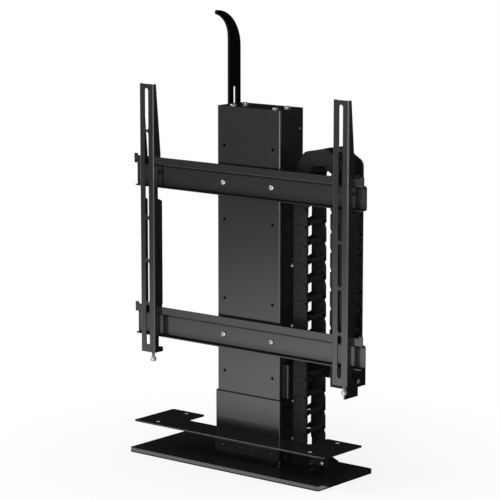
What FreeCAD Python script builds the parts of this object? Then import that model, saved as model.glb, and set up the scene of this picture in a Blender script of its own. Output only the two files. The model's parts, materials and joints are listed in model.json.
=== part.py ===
# Column TV lift: weighted base, telescopic column in three stages, two cross rails with hooked
# screen arms, lid lever and cable chain. Millimetres, +Z up, front towards -Y.
# Origin: underside of the base plate, on the column's axis.
import FreeCAD, Part
import math
import os
import re

SIZES = [
    # base, sleeve and wing plate
    ("base_w", 410), ("base_d", 148), ("base_yf", -104), ("base_t", 8), ("base_r", 4),
    ("sleeve_t", 1.5), ("sleeve_gap", 1.1), ("sleeve_top", 117.5), ("side_screw_y", 3),
    ("sleeve_screw_low", 46), ("sleeve_screw_high", 111), ("side_head_r", 4), ("side_head_h", 2.6),
    ("wing_w", 414), ("wing_yf", -90), ("wing_yb", 13.5), ("wing_in", 134), ("wing_t", 2.5),
    ("wing_top", 53.6), ("wing_drop", 14), ("wing_hole_x", 165), ("wing_hole_d", 6.6),
    ("wing_pitch", 75), ("wing_small_x", 104), ("wing_small_d", 4.2), ("wing_r", 4),
    ("seat", 0.1), ("flange_x_in", 12), ("flange_x_out", 52), ("flange_z", 24),
    ("wing_head_r", 4), ("wing_head_h", 1.6), ("foot_gap", 1.8), ("foot_t", 6), ("foot_edge", 7),
    # column stages
    ("shell_w", 134.4), ("shell_d", 63.4), ("shell_t", 2), ("shell_z0", 22), ("shell_top", 604),
    ("seam_in", 15.7), ("seam_gap", 0.3), ("bend_r", 3), ("rivet_in", 5), ("rivet_r", 2),
    ("rivet_low", 60), ("rivet_mid", 320), ("rivet_below", 34),
    ("side_hole_y", -3), ("side_hole_below", 18.5),
    ("shell_screw_low", 239), ("shell_screw_high", 342), ("tip_gap", 0.1),
    ("outer_gap_x", 5.2), ("outer_gap_y", 4.7), ("mid_t", 2.5), ("mid_low", 4), ("mid_below", 12),
    ("inner_gap", 4.5), ("mast_t", 3), ("mast_below", 22), ("slide_gap", 0.3), ("glide_h", 40),
    ("glide_wrap", 22), ("glide_reach", 10), ("mast_lid_t", 6),
    ("cap_t", 2.5), ("cap_gap", 0.2), ("cap_below", 0.6), ("cap_screw_x", 45), ("cap_screw_y", 16),
    ("cap_fold_w", 76), ("cap_fold_h", 16), ("cap_head_r", 5.2), ("cap_head_h", 3.3),
    # drive
    ("drive_gap", 1.5), ("motor_low", 2), ("motor_h", 68), ("gear_w", 60), ("gear_h", 22), ("gear_gap", 0.5),
    ("screw_r", 7), ("screw_below", 56), ("journal_r", 5), ("run_fit", 0.05),
    ("nut_above", 12), ("nut_h", 24), ("push_t", 3), ("bar_t", 6), ("bar_below", 8), ("bar_gap", 3.5),
    ("pulley_below", 14), ("pulley_r", 11.7), ("pulley_rim", 0.5), ("axle_r", 4),
    ("strap_t", 1.5), ("strap_w", 22), ("strap_low", 12), ("clamp_t", 1.6), ("clamp_h", 30), ("clamp_low", 8),
    ("anchor_w", 26), ("anchor_t", 4.9), ("anchor_h", 5),
    # rails
    ("rail_w", 490), ("rail_t", 2), ("rail_reach", 9.6), ("rail_h", 52.4), ("lip_h", 11.4),
    ("up_rail_below", 149.5), ("low_rail_z", 194.5), ("nib_w", 7), ("nib_h", 3.5), ("rail_r", 1.6),
    ("rail_end_r", 5), ("bolt_x", 51.7), ("hole_pitch", 62.7), ("hole_d", 5.5),
    ("rail_bolt_z", 21.1), ("bolt_r", 2.95), ("bolt_hole_r", 3), ("head_r", 4.8), ("head_h", 3.2),
    # screen arms
    ("arm_in", 38), ("arm_w", 31.6), ("arm_t", 2), ("arm_gap", 0.45), ("arm_below", 27.5),
    ("arm_above", 178), ("arm_top_d", 7.5), ("arm_d", 21.5), ("arm_neck_d", 10.7), ("arm_r", 2.6),
    ("slot_pitch", 75), ("slot_l", 71.5), ("slot_w", 8.4), ("slot_edge", 7), ("arm_rise", 6),
    ("hook_rise", 5),
    ("neck_low", 19), ("neck_slope", 4.5), ("lug_t", 3), ("lug_h", 10.5), ("lug_slope", 2.5),
    ("hook_h", 8), ("hook_t", 4.4), ("hook_gap", 0.6),
    ("hang_gap", 0.4), ("lock_in", 6.8), ("lock_r", 2.95), ("lock_bore", 3), ("lock_head_r", 5),
    ("lock_head_h", 7), ("lock_below", 18), ("lock_gap", 1.5),
    # lid lever
    ("lever_t", 4), ("lever_w", 27.1), ("lever_edge", 1.9), ("lever_below", 118), ("lever_slot", 8.4),
    ("lever_slot_below", 70), ("lever_slot_above", 29), ("lever_in_above", 117.5), ("lever_in_r", 37.4),
    ("lever_out_above", 97.3), ("lever_out_r", 63), ("lever_bolt_below", 48), ("lever_bolt_pitch", 30),
    ("lever_bolt_r", 3.35), ("lever_washer_r", 8.5), ("lever_washer_t", 1.5), ("lever_head_r", 6.2),
    ("lever_head_h", 4.5),
    # cable chain
    ("pitch", 32), ("link_r", 13.9), ("link_clear", 14.3), ("chain_w", 55), ("plate_t", 2.8),
    ("layer_gap", 0.3), ("bar_u", 8), ("bar_v", 3), ("bridge_u", 2.2), ("pin_r", 3), ("pin_short", 0.2),
    ("pin_hole_r", 3.3),
    ("loop_up", 58), ("loop_over", 10), ("loop_down", 31),
    ("chain_off", 25.2), ("chain_y", 14), ("chain_z", 498.3), ("chain_foot_h", 36), ("chain_foot_w", 48),
    ("chain_foot_t", 4), ("chain_foot_edge", 1.5), ("chain_bolt_x", 18.2), ("chain_bolt_y", 19),
    ("chain_bolt_shift", 0.5), ("chain_end_h", 60), ("chain_end_drop", 44.2), ("chain_end_foot", 12),
    ("bracket_t", 6.5), ("bracket_up", 1), ("bracket_top", 2), ("bracket_yf", -17), ("bracket_screw_in", 12),
    ("tie_gap", 1.5), ("tie_t", 3), ("tie_low", 0.3), ("tie_h", 24), ("end_gap", 0.25), ("end_t", 3),
    ("tail_low", 17), ("tail_step", 6), ("tail_up", 34), ("tail_yf", -11), ("tail_y", 5), ("tail_yb", 25),
    ("end_bolt_y", 26), ("end_bolt_up", 7),
    # control box under the right wing
    ("box_in", 2), ("box_w", 36), ("box_front", 8), ("box_d", 32), ("box_h", 14), ("box_flat", 15),
    ("box_back_h", 3.5), ("socket_in", 6),
    ("socket_below", 8.5), ("socket_r", 3.6), ("socket_bore", 2.2), ("socket_rim_r", 4.2),
    ("socket_rim_t", 2.5), ("socket_out", 5), ("socket_deep", 5.5),
]
# Sizes that follow from the ones above through a named clearance
TIED = {
    "sleeve_w": "shell_w + 2 * sleeve_gap + 2 * sleeve_t",
    "sleeve_d": "shell_d + 2 * sleeve_gap + 2 * sleeve_t",
    "foot_w": "sleeve_w - 2 * sleeve_t - 2 * foot_gap", "foot_d": "sleeve_d - 2 * sleeve_t - 2 * foot_gap",
    "foot_bolt_x": "foot_w / 2 - foot_edge", "foot_bolt_y": "foot_d / 2 - foot_edge",
    "mid_w": "shell_w - 2 * shell_t - 2 * outer_gap_x", "mid_d": "shell_d - 2 * shell_t - 2 * outer_gap_y",
    "mid_z0": "shell_z0 - mid_low", "mid_top": "shell_top - mid_below",
    "mast_w": "mid_w - 2 * mid_t - 2 * inner_gap", "mast_d": "mid_d - 2 * mid_t - 2 * inner_gap",
    "mast_top": "pulley_z - mast_below", "cap_top": "shell_top - cap_below",
    "seam_y": "shell_d / 2 - seam_in", "rivet_y": "seam_y + rivet_in",
    "drive_r": "mast_d / 2 - mast_t - drive_gap", "push_bore": "drive_r - push_t",
    "motor_z0": "base_t + foot_t + motor_low", "gear_z0": "motor_z0 + motor_h", "gear_z1": "gear_z0 + gear_h",
    "nut_z0": "gear_z1 + nut_above", "screw_top": "mast_top - screw_below", "bar_z0": "mid_top - bar_below",
    "bar_w": "2 * (pulley_x - strap_r - strap_t - bar_gap)", "pulley_z": "mid_top - pulley_below",
    "pulley_x": "shell_w / 2 - shell_t - clamp_t - seat - strap_t - strap_r",
    "pulley_w": "strap_w + 2 * pulley_rim", "strap_r": "pulley_r + slide_gap",
    "strap_z0": "shell_z0 + strap_low",
    "up_rail_z": "shell_top - up_rail_below", "rail_y": "-shell_d / 2 - seat / 2",
    "arm_x": "rail_w / 2 - arm_in", "arm_yf": "rail_y - rail_reach - arm_gap - arm_neck_d",
    "arm_z0": "low_rail_z - arm_below", "arm_z1": "up_rail_z + arm_above", "slot_top": "arm_z1 - slot_edge",
    "lock_y": "-shell_d / 2 - lock_in", "lock_z0": "arm_z0 - lock_below",
    "lever_y1": "shell_d / 2 - lever_edge", "lever_y0": "lever_y1 - lever_w",
    "lever_z0": "shell_top - lever_below",
    "lever_slot_z0": "shell_top - lever_slot_below", "lever_slot_z1": "shell_top + lever_slot_above",
    "lever_in_z": "shell_top + lever_in_above", "lever_out_z": "shell_top + lever_out_above",
    "lever_bolt_z": "shell_top - lever_bolt_below", "lever_y": "(lever_y0 + lever_y1) / 2",
    "chain_x": "sleeve_w / 2 + chain_off",
    "chain_x_right": "chain_x + pitch * (cos(loop_up * 1 deg) + cos(loop_over * 1 deg)"
                     " + cos(loop_down * 1 deg))",
    "chain_z_right": "chain_z + pitch * (sin(loop_up * 1 deg) + sin(loop_over * 1 deg)"
                     " - sin(loop_down * 1 deg))",
    "end_x": "chain_x_right + link_r + end_gap", "tie_y": "chain_y + chain_w / 2 + tie_gap",
    "tie_z0": "pin_end - chain_end_drop - tie_low", "bracket_z0": "sleeve_top + bracket_up",
    "bracket_z1": "tie_z1 + bracket_top", "tie_z1": "tie_z0 + tie_h",
    "box_x1": "wing_w / 2 - box_in", "box_x0": "box_x1 - box_w", "box_yf": "wing_yf + box_front",
    "box_yb": "box_yf + box_d",
}
FRONT_HOLES = ["low_rail_z + rail_bolt_z - hole_pitch", "low_rail_z + rail_bolt_z + hole_pitch",
               "up_rail_z + rail_bolt_z - hole_pitch", "up_rail_z + rail_bolt_z + hole_pitch"]

doc = FreeCAD.newDocument("tv_lift")
sheet = doc.addObject("Spreadsheet::Sheet", "P")
VALUE = {}
for row, (alias, value) in enumerate(SIZES, start=1):
    sheet.set(f"A{row}", alias)
    sheet.set(f"B{row}", str(value))
    sheet.setAlias(f"B{row}", alias)
    VALUE[alias] = value
doc.recompute()

NODES = {}
NEAR = 0.01
X, Y, Z = "X", "Y", "Z"
TURN = {
    X: FreeCAD.Rotation(FreeCAD.Vector(1, 1, 1), 120),
    Y: FreeCAD.Rotation(FreeCAD.Vector(1, 0, 0), -90),
    Z: FreeCAD.Rotation(),
}


def ex(text):
    """Expression text with each size written as a cell of the sheet."""
    def spelled(found):
        word = found[0]
        if word in TIED:
            return "(" + ex(TIED[word]) + ")"
        return "P." + word if word in VALUE else word
    return re.sub(r"\b[a-z]\w*\b", spelled, str(text))


def value(text):
    """The number a size expression stands for."""
    return float(sheet.evalExpression(ex(text)))


# Links that fit in each strand of the cable chain, and the end pins they reach
LEFT_LINKS = int(value("(chain_z - base_t - chain_foot_h) / pitch"))
RIGHT_LINKS = int(value("(chain_z_right - sleeve_top - chain_end_h) / pitch"))
TIED["pin_low"] = f"chain_z - {LEFT_LINKS} * pitch"
TIED["pin_end"] = f"chain_z_right - {RIGHT_LINKS} * pitch"


def bind(obj, prop, text):
    obj.setExpression(prop, ex(text))


def put(obj, x, y, z, turn=None):
    """Place an object at an expression-bound point."""
    if turn is not None:
        obj.Placement = FreeCAD.Placement(FreeCAD.Vector(), turn)
    for axis, text in zip("xyz", (x, y, z)):
        bind(obj, f"Placement.Base.{axis}", text)
    return obj


def box(x, y, z):
    """Block between three pairs of limits."""
    b = doc.addObject("Part::Box", "block")
    for prop, (lo, hi) in zip(("Length", "Width", "Height"), (x, y, z)):
        bind(b, prop, f"({hi}) - ({lo})")
    return put(b, x[0], y[0], z[0])


def cyl(axis, r, a, b, lo, hi):
    """Round bar along an axis; a and b are its centre on the other two axes in order."""
    c = doc.addObject("Part::Cylinder", "round")
    bind(c, "Radius", r)
    bind(c, "Height", f"({hi}) - ({lo})")
    at = {X: (lo, a, b), Y: (a, lo, b), Z: (a, b, lo)}[axis]
    turn = FreeCAD.Rotation(FreeCAD.Vector(0, 1, 0), 90) if axis == X else TURN[axis]
    return put(c, *at, turn)


def prism(axis, points, lo, hi):
    """Closed outline in the plane across an axis, swept from lo to hi.
    Points are (y, z), (x, z) or (x, y)."""
    import Sketcher
    sk = doc.addObject("Sketcher::SketchObject", "outline")
    nums = [(value(a), value(b)) for a, b in points]
    count = len(nums)
    for i in range(count):
        p, q = nums[i], nums[(i + 1) % count]
        sk.addGeometry(Part.LineSegment(FreeCAD.Vector(*p, 0), FreeCAD.Vector(*q, 0)), False)
    for i in range(count):
        sk.addConstraint(Sketcher.Constraint("Coincident", i, 2, (i + 1) % count, 1))
    for i, (a, b) in enumerate(points):
        for kind, text, num in (("DistanceX", a, nums[i][0]), ("DistanceY", b, nums[i][1])):
            index = sk.addConstraint(Sketcher.Constraint(kind, -1, 1, i, 1, num))
            sk.setExpression(f"Constraints[{index}]", ex(text))
    if axis == X:
        put(sk, lo, "0", "0", TURN[X])
    elif axis == Y:
        put(sk, "0", hi, "0", FreeCAD.Rotation(FreeCAD.Vector(1, 0, 0), 90))
    else:
        put(sk, "0", "0", lo)
    e = doc.addObject("Part::Extrusion", "sweep")
    e.Base, e.DirMode, e.Solid = sk, "Normal", True
    bind(e, "LengthFwd", f"({hi}) - ({lo})")
    return e


def fuse(*shapes):
    f = doc.addObject("Part::MultiFuse", "joined")
    f.Shapes, f.Refine = list(shapes), True
    return f


def cut(base, *tools):
    for tool in tools:
        c = doc.addObject("Part::Cut", "cut")
        c.Base, c.Tool, c.Refine = base, tool, True
        base = c
    return base


def group(shapes):
    g = doc.addObject("Part::Compound", "set")
    g.Links = list(shapes)
    return g


def mirrored(obj, normal):
    m = doc.addObject("Part::Mirroring", "mirrored")
    m.Source, m.Base, m.Normal = obj, FreeCAD.Vector(), normal
    return m


def rounded(obj, alias, pick):
    """Round the edges that pick accepts, given their middle and direction."""
    doc.recompute()
    radius, edges = VALUE[alias], []
    for i, e in enumerate(obj.Shape.Edges, start=1):
        a, b = e.firstVertex().Point, e.lastVertex().Point
        if len(e.Vertexes) == 2 and pick((a + b) * 0.5, b - a):
            edges.append((i, radius, radius))
    f = doc.addObject("Part::Fillet", "rounded")
    f.Base, f.Edges = obj, edges
    return f


def node(name, obj):
    obj.Label = name
    NODES[name] = obj
    return obj


def tube(w, d, t, z0, z1, open_z=1):
    """Rectangular tube about the column's axis."""
    outer = box((f"-{w} / 2", f"{w} / 2"), (f"-{d} / 2", f"{d} / 2"), (z0, z1))
    inner = box((f"-{w} / 2 + {t}", f"{w} / 2 - {t}"), (f"-{d} / 2 + {t}", f"{d} / 2 - {t}"),
                (f"{z0} - {open_z}", f"{z1} + {open_z}"))
    return cut(outer, inner)


def upright(mid, way):
    return abs(way.x) < 1e-6 and abs(way.y) < 1e-6


def corners(makers):
    """A corner piece and its copies on the other three corners."""
    ahead = fuse(*makers)
    left = mirrored(ahead, FreeCAD.Vector(1, 0, 0))
    return group([ahead, left, mirrored(ahead, FreeCAD.Vector(0, 1, 0)),
                  mirrored(left, FreeCAD.Vector(0, 1, 0))])


def glides(inner_x, inner_y, outer_x, outer_y, z0, reach):
    """Four corner glide pads filling the gap between two stages."""
    z = (z0, f"{z0} + glide_h")
    return corners([
        box((inner_x, outer_x), (reach, outer_y), z),
        box((f"{outer_x} - glide_wrap", outer_x), (inner_y, outer_y), z),
    ])


def button(axis, a, b, face, way, r="head_r", h="head_h", shank="bolt_r", grip="2 * rail_t + shell_t"):
    """Button-head screw: head on the face, shank running the other way from halfway up the head."""
    rim, root = f"{face} + ({way}) * {h}", f"{face} + ({way}) * {h} / 2"
    tip = f"{face} - ({way}) * ({grip})"
    lo, hi = (face, rim) if way > 0 else (rim, face)
    slo, shi = (tip, root) if way > 0 else (root, tip)
    return fuse(cyl(axis, r, a, b, lo, hi), cyl(axis, shank, a, b, slo, shi))


# Base plate with rounded corners
plate = box(("-base_w / 2", "base_w / 2"), ("base_yf", "base_yf + base_d"), ("0", "base_t"))
plate = rounded(plate, "base_r", upright)
foot_at = [(sx, sy) for sx in (-1, 1) for sy in (-1, 1)]
holes = [cyl(Z, "bolt_hole_r", f"{sx} * foot_bolt_x", f"{sy} * foot_bolt_y", "-1", "base_t + 1")
         for sx, sy in foot_at]
chain_bolt_at = [(f"chain_x + chain_bolt_shift + {sx} * chain_bolt_x", f"chain_y + {sy} * chain_bolt_y")
                 for sx, sy in foot_at]
holes += [cyl(Z, "bolt_hole_r", a, b, "-1", "base_t + 1") for a, b in chain_bolt_at]
node("base_plate", cut(plate, group(holes)))

# Mast foot, mast and their bolts
foot = box(("-foot_w / 2", "foot_w / 2"), ("-foot_d / 2", "foot_d / 2"), ("base_t", "base_t + foot_t"))
holes = [cyl(Z, "bolt_hole_r", f"{sx} * foot_bolt_x", f"{sy} * foot_bolt_y", "0", "base_t + foot_t + 1")
         for sx, sy in foot_at]
node("mast_foot", cut(foot, group(holes)))
node("mast", tube("mast_w", "mast_d", "mast_t", "base_t + foot_t", "mast_top"))
node("foot_bolts", group([button(Z, f"{sx} * foot_bolt_x", f"{sy} * foot_bolt_y", "base_t + foot_t", 1,
                                 grip="base_t + foot_t - 1") for sx, sy in foot_at]))
inner = ("mast_w / 2 - mast_t", "mast_d / 2 - mast_t")
lid = box((f"-({inner[0]})", inner[0]), (f"-({inner[1]})", inner[1]), ("mast_top - mast_lid_t", "mast_top"))
node("mast_top_plate", cut(lid, cyl(Z, "drive_r + drive_gap / 2", "0", "0", "mast_top - mast_lid_t - 1",
                                    "mast_top + 1")))
node("mast_glides", glides("mast_w / 2", "mast_d / 2", "mid_w / 2 - mid_t - slide_gap",
                           "mid_d / 2 - mid_t - slide_gap", "mast_top - mast_lid_t * 2 - glide_h",
                           "mast_d / 2 - glide_reach"))

# Fixed sleeve round the column's foot
sleeve = tube("sleeve_w", "sleeve_d", "sleeve_t", "base_t", "sleeve_top")
sleeve = rounded(sleeve, "bend_r", lambda m, w: upright(m, w) and abs(m.x) > value("sleeve_w / 2 - seat"))
side_at = [(s, z) for s in (-1, 1) for z in ("sleeve_screw_low", "sleeve_screw_high")]
tools = [cyl(X, "bolt_hole_r", "side_screw_y", z, f"{s} * sleeve_w / 2 - 2 * sleeve_t",
             f"{s} * sleeve_w / 2 + 2 * sleeve_t") for s, z in side_at]
flange_at = ["-flange_x_out", "-flange_x_in", "flange_x_in", "flange_x_out"]
tools += [cyl(Y, "bolt_hole_r", x, "flange_z", "-sleeve_d / 2 - sleeve_t", "-sleeve_d / 2 + 2 * sleeve_t")
          for x in flange_at]
node("sleeve", cut(sleeve, group(tools)))
node("sleeve_screws", group([button(X, "side_screw_y", z, f"{s} * sleeve_w / 2", s,
                                    "side_head_r", "side_head_h", grip="sleeve_t + sleeve_gap / 2")
                             for s, z in side_at]))

# Wing plate: front strip with two wings running back past the column
w = "wing_w / 2"
outline = [(f"-{w}", "wing_yf"), (w, "wing_yf"), (w, "wing_yb"), ("wing_in", "wing_yb"),
           ("wing_in", "-sleeve_d / 2 - seat"), ("-wing_in", "-sleeve_d / 2 - seat"),
           ("-wing_in", "wing_yb"), (f"-{w}", "wing_yb")]
wing = prism(Z, outline, "wing_top - wing_t", "wing_top")
wing = rounded(wing, "wing_r", upright)
flange = box(("-sleeve_w / 2", "sleeve_w / 2"), ("-sleeve_d / 2 - seat - wing_t", "-sleeve_d / 2 - seat"),
             ("wing_drop", "wing_top - wing_t + 0.5"))
tools = [cyl(Z, "wing_hole_d / 2", f"{s} * wing_hole_x", y, "wing_top - 2 * wing_t", "wing_top + 1")
         for s in (-1, 1) for y in ("0", "-wing_pitch")]
tools += [cyl(Z, "wing_small_d / 2", x, y, "wing_top - 2 * wing_t", "wing_top + 1") for x, y in
          (("-wing_small_x", "-wing_pitch"), ("0", "-wing_pitch"), ("wing_small_x", "-wing_pitch"),
           ("wing_hole_x", "-wing_pitch / 2"), ("-wing_hole_x", "-wing_pitch / 2"))]
tools += [cyl(Y, "bolt_hole_r", x, "flange_z", "-sleeve_d / 2 - 2 * wing_t", "-sleeve_d / 2 + 1")
          for x in flange_at]
node("wing_plate", cut(fuse(wing, flange), group(tools)))
node("wing_screws", group([button(Y, x, "flange_z", "-sleeve_d / 2 - seat - wing_t", -1, "wing_head_r",
                                  "wing_head_h", grip="wing_t + seat + sleeve_t - tip_gap")
                           for x in flange_at]))

# Control box hung under the right wing, sloped at the back, with its round socket
under = "wing_top - wing_t"
case = prism(X, [("box_yf", f"{under} - box_h"), ("box_yb", f"{under} - box_h"),
                 ("box_yb", f"{under} - box_h + box_back_h"), ("box_yf + box_flat", f"{under} - seat"),
                 ("box_yf", f"{under} - seat")], "box_x0", "box_x1")
case = rounded(case, "rail_r", lambda m, w: upright(m, w) and abs(m.y - value("box_yf")) < NEAR)
socket_at = ("box_x1 - socket_in", f"{under} - socket_below")
node("control_box", cut(case, cyl(Y, "socket_r + seat", *socket_at, "box_yf - 1",
                                  "box_yf + socket_deep + seat")))
plug = fuse(cyl(Y, "socket_rim_r", *socket_at, "box_yf - socket_rim_t", "box_yf - seat / 2"),
            cyl(Y, "socket_r", *socket_at, "box_yf - socket_out", "box_yf + socket_deep"))
node("control_socket", cut(plug, cyl(Y, "socket_bore", *socket_at, "box_yf - socket_out - 1",
                                     "box_yf + socket_deep - socket_bore")))

# Gear motor and gearbox inside the mast
node("gear_motor", fuse(cyl(Z, "drive_r", "0", "0", "motor_z0", "gear_z0 - seat"),
                        cyl(Z, "drive_r * 0.6", "0", "0", "base_t + foot_t", "motor_z0 + 1")))
gear_y = "(mast_d / 2 - mast_t - gear_gap)"
gear = box(("-gear_w / 2", "gear_w / 2"), (f"-{gear_y}", gear_y), ("gear_z0", "gear_z1"))
gear = rounded(gear, "bend_r", upright)
node("gearbox", cut(gear, cyl(Z, "journal_r + run_fit", "0", "0", "gear_z1 - gear_h / 2 - slide_gap",
                              "gear_z1 + 1")))
node("lead_screw", fuse(cyl(Z, "journal_r", "0", "0", "gear_z1 - gear_h / 2", "gear_z1 + 1"),
                        cyl(Z, "screw_r", "0", "0", "gear_z1 + slide_gap", "screw_top")))

# Strap anchors on the mast and the short inner strap runs
anchor = box(("pulley_x - strap_r + seat", "pulley_x - strap_r + seat + anchor_t"),
             ("-anchor_w / 2", "anchor_w / 2"), ("mast_top", "mast_top + anchor_h"))
node("strap_anchors", group([anchor, mirrored(anchor, FreeCAD.Vector(1, 0, 0))]))
runs = [("-pulley_x + strap_r", "-pulley_x + strap_r + strap_t"),
        ("pulley_x - strap_r - strap_t", "pulley_x - strap_r")]
run_y, run_z = ("-strap_w / 2", "strap_w / 2"), ("mast_top + seat", "pulley_z - slide_gap")
node("strap_inner_runs", group([box(r, run_y, run_z) for r in runs]))

# Middle stage with glides, top bar, pulleys and push tube
middle = tube("mid_w", "mid_d", "mid_t", "mid_z0", "mid_top")
windows = [box((f"{s} * mid_w / 2 - 2 * mid_t", f"{s} * mid_w / 2 + 2 * mid_t"),
               ("-pulley_w / 2 - drive_gap", "pulley_w / 2 + drive_gap"),
               ("pulley_z - strap_r - strap_t - bar_gap - 1", "mid_top + 1"))
           for s in (-1, 1)]
axle_holes = [cyl(Y, "axle_r", f"{s} * pulley_x", "pulley_z", "-mid_d / 2 - 1", "mid_d / 2 + 1")
              for s in (-1, 1)]
node("middle_tube", cut(middle, group(windows), group(axle_holes)))
node("middle_outer_glides", glides("mid_w / 2", "mid_d / 2", "shell_w / 2 - shell_t - slide_gap",
                                   "shell_d / 2 - shell_t - slide_gap", "mid_top - mast_lid_t - glide_h",
                                   "mid_d / 2 - glide_reach - 1"))
node("middle_inner_glides", glides("mast_w / 2 + slide_gap", "mast_d / 2 + slide_gap", "mid_w / 2 - mid_t",
                                   "mid_d / 2 - mid_t", "mid_z0 + mid_t", "mast_d / 2 - glide_reach"))
node("middle_top_bar", box(("-bar_w / 2", "bar_w / 2"), ("-mid_d / 2 + mid_t", "mid_d / 2 - mid_t"),
                           ("bar_z0", "bar_z0 + bar_t")))
node("push_tube", cut(cyl(Z, "drive_r", "0", "0", "nut_z0 + nut_h", "bar_z0"),
                      cyl(Z, "push_bore", "0", "0", "nut_z0", "bar_z0 - push_t")))
node("drive_nut", cut(cyl(Z, "drive_r", "0", "0", "nut_z0", "nut_z0 + nut_h"),
                      cyl(Z, "screw_r + slide_gap", "0", "0", "nut_z0 - 1", "nut_z0 + nut_h + 1")))
node("pulley_axles", group([cyl(Y, "axle_r - 0.01", f"{s} * pulley_x", "pulley_z", "-mid_d / 2", "mid_d / 2")
                            for s in (-1, 1)]))
for name, s in (("pulley_left", -1), ("pulley_right", 1)):
    at = (f"{s} * pulley_x", "pulley_z")
    node(name, cut(cyl(Y, "pulley_r", *at, "-pulley_w / 2", "pulley_w / 2"),
                   cyl(Y, "axle_r + run_fit", *at, "-pulley_w", "pulley_w")))
wraps = []
for s in (-1, 1):
    at = (f"{s} * pulley_x", "pulley_z")
    ring = cut(cyl(Y, "strap_r + strap_t", *at, "-strap_w / 2", "strap_w / 2"),
               cyl(Y, "strap_r", *at, "-strap_w", "strap_w"))
    low = box((f"{s} * pulley_x - 2 * strap_r", f"{s} * pulley_x + 2 * strap_r"), ("-strap_w", "strap_w"),
              ("pulley_z - 2 * strap_r", "pulley_z"))
    wraps.append(cut(ring, low))
node("strap_wraps", group(wraps))

# Outer shell: folded front with sides, and a folded rear cover meeting it at a seam
hw, hd = "shell_w / 2", "shell_d / 2"
iw, id_ = "(shell_w / 2 - shell_t)", "(shell_d / 2 - shell_t)"
front = prism(Z, [(f"-{hw}", f"-{hd}"), (hw, f"-{hd}"), (hw, "seam_y"), (iw, "seam_y"), (iw, f"-{id_}"),
                  (f"-{iw}", f"-{id_}"), (f"-{iw}", "seam_y"), (f"-{hw}", "seam_y")], "shell_z0", "shell_top")
front = rounded(front, "bend_r", lambda m, w: upright(m, w) and m.y < value("-shell_d / 2 + seat"))
tools = [cyl(Y, "hole_d / 2", f"{s} * bolt_x", z, f"-{hd} - 1", f"-{hd} + 2 * shell_t")
         for s in (-1, 1) for z in FRONT_HOLES]
rail_at = [(f"{s} * bolt_x", f"{r} + rail_bolt_z") for s in (-1, 1) for r in ("up_rail_z", "low_rail_z")]
tools += [cyl(Y, "bolt_hole_r", x, z, f"-{hd} - 1", f"-{hd} + 2 * shell_t") for x, z in rail_at]
shell_screw_at = [(s, "side_screw_y", z) for s in (-1, 1) for z in ("shell_screw_high", "shell_screw_low")]
bracket_screw_at = [(1, "side_screw_y", z)
                    for z in ("bracket_z1 - bracket_screw_in", "bracket_z0 + bracket_screw_in + seat * 5")]
lever_at = [(-1, "lever_y", f"lever_bolt_z + {k} * lever_bolt_pitch") for k in (0, 1)]
side_hole_at = [(s, "side_hole_y", "shell_top - side_hole_below") for s in (-1, 1)]


def through_side(r, places):
    """Holes of radius r through the shell's sides."""
    return [cyl(X, r, y, z, f"{s} * {hw} - 2 * shell_t", f"{s} * {hw} + 2 * shell_t") for s, y, z in places]


lever_holes = through_side("lever_bolt_r + run_fit", lever_at)
tools += through_side("bolt_hole_r", shell_screw_at + bracket_screw_at + side_hole_at)
tools += lever_holes
node("shell_front", cut(front, group(tools)))
back = "(seam_y + seam_gap)"
rear = prism(Z, [(hw, hd), (f"-{hw}", hd), (f"-{hw}", back), (f"-{iw}", back), (f"-{iw}", id_), (iw, id_),
                 (iw, back), (hw, back)], "shell_z0", "shell_top")
rear = rounded(rear, "bend_r", lambda m, w: upright(m, w) and m.y > value("shell_d / 2 - seat"))
seam_at = [(s, "rivet_y", z) for s in (-1, 1) for z in ("shell_top - rivet_below", "rivet_mid", "rivet_low")]
node("shell_rear", cut(rear, group(through_side("rivet_r", seam_at) + lever_holes)))
node("shell_screws", group([button(X, y, z, f"{s} * {hw}", s, "side_head_r", "side_head_h",
                                   grip="shell_t - tip_gap")
                            for s, y, z in shell_screw_at]))
rivet_x, rivet_half = f"({hw} - shell_t / 2 + seat)", "(shell_t / 2 + seat)"
node("seam_rivets", group([cyl(X, "rivet_r - run_fit / 2", y, z, f"{s} * {rivet_x} - {rivet_half}",
                               f"{s} * {rivet_x} + {rivet_half}") for s, y, z in seam_at]))
node("shell_glides", glides("mid_w / 2 + slide_gap", "mid_d / 2 + slide_gap", iw, id_, "shell_z0 + shell_t",
                            "mid_d / 2 + slide_gap - glide_reach"))
clamp = box(("pulley_x + strap_r + strap_t + seat", iw), ("-pulley_w / 2", "pulley_w / 2"),
            ("shell_z0 + clamp_low", "shell_z0 + clamp_low + clamp_h"))
node("strap_clamps", group([clamp, mirrored(clamp, FreeCAD.Vector(1, 0, 0))]))
outer_run = box(("pulley_x + strap_r", "pulley_x + strap_r + strap_t"), ("-strap_w / 2", "strap_w / 2"),
                ("strap_z0", "pulley_z - slide_gap"))
node("strap_outer_runs", group([outer_run, mirrored(outer_run, FreeCAD.Vector(1, 0, 0))]))

# Top cap with front and rear folds, and its four button screws
cx, cy = f"({iw} - cap_gap)", f"({id_} - cap_gap)"
cap = box((f"-{cx}", cx), (f"-{cy}", cy), ("cap_top - cap_t", "cap_top"))
fold = box(("-cap_fold_w / 2", "cap_fold_w / 2"), (f"-{cy}", f"-{cy} + shell_t"),
           ("cap_top - cap_fold_h", "cap_top - 1"))
folds = [fold, mirrored(fold, FreeCAD.Vector(0, 1, 0))]
cap_at = [(f"{sx} * cap_screw_x", f"{sy} * cap_screw_y") for sx in (-1, 1) for sy in (-1, 1)]
tools = [cyl(Z, "bolt_hole_r", x, y, "cap_top - 2 * cap_t", "cap_top + 1") for x, y in cap_at]
node("top_cap", cut(fuse(cap, *folds), group(tools)))
node("cap_screws", group([button(Z, x, y, "cap_top", 1, "cap_head_r", "cap_head_h") for x, y in cap_at]))


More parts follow.
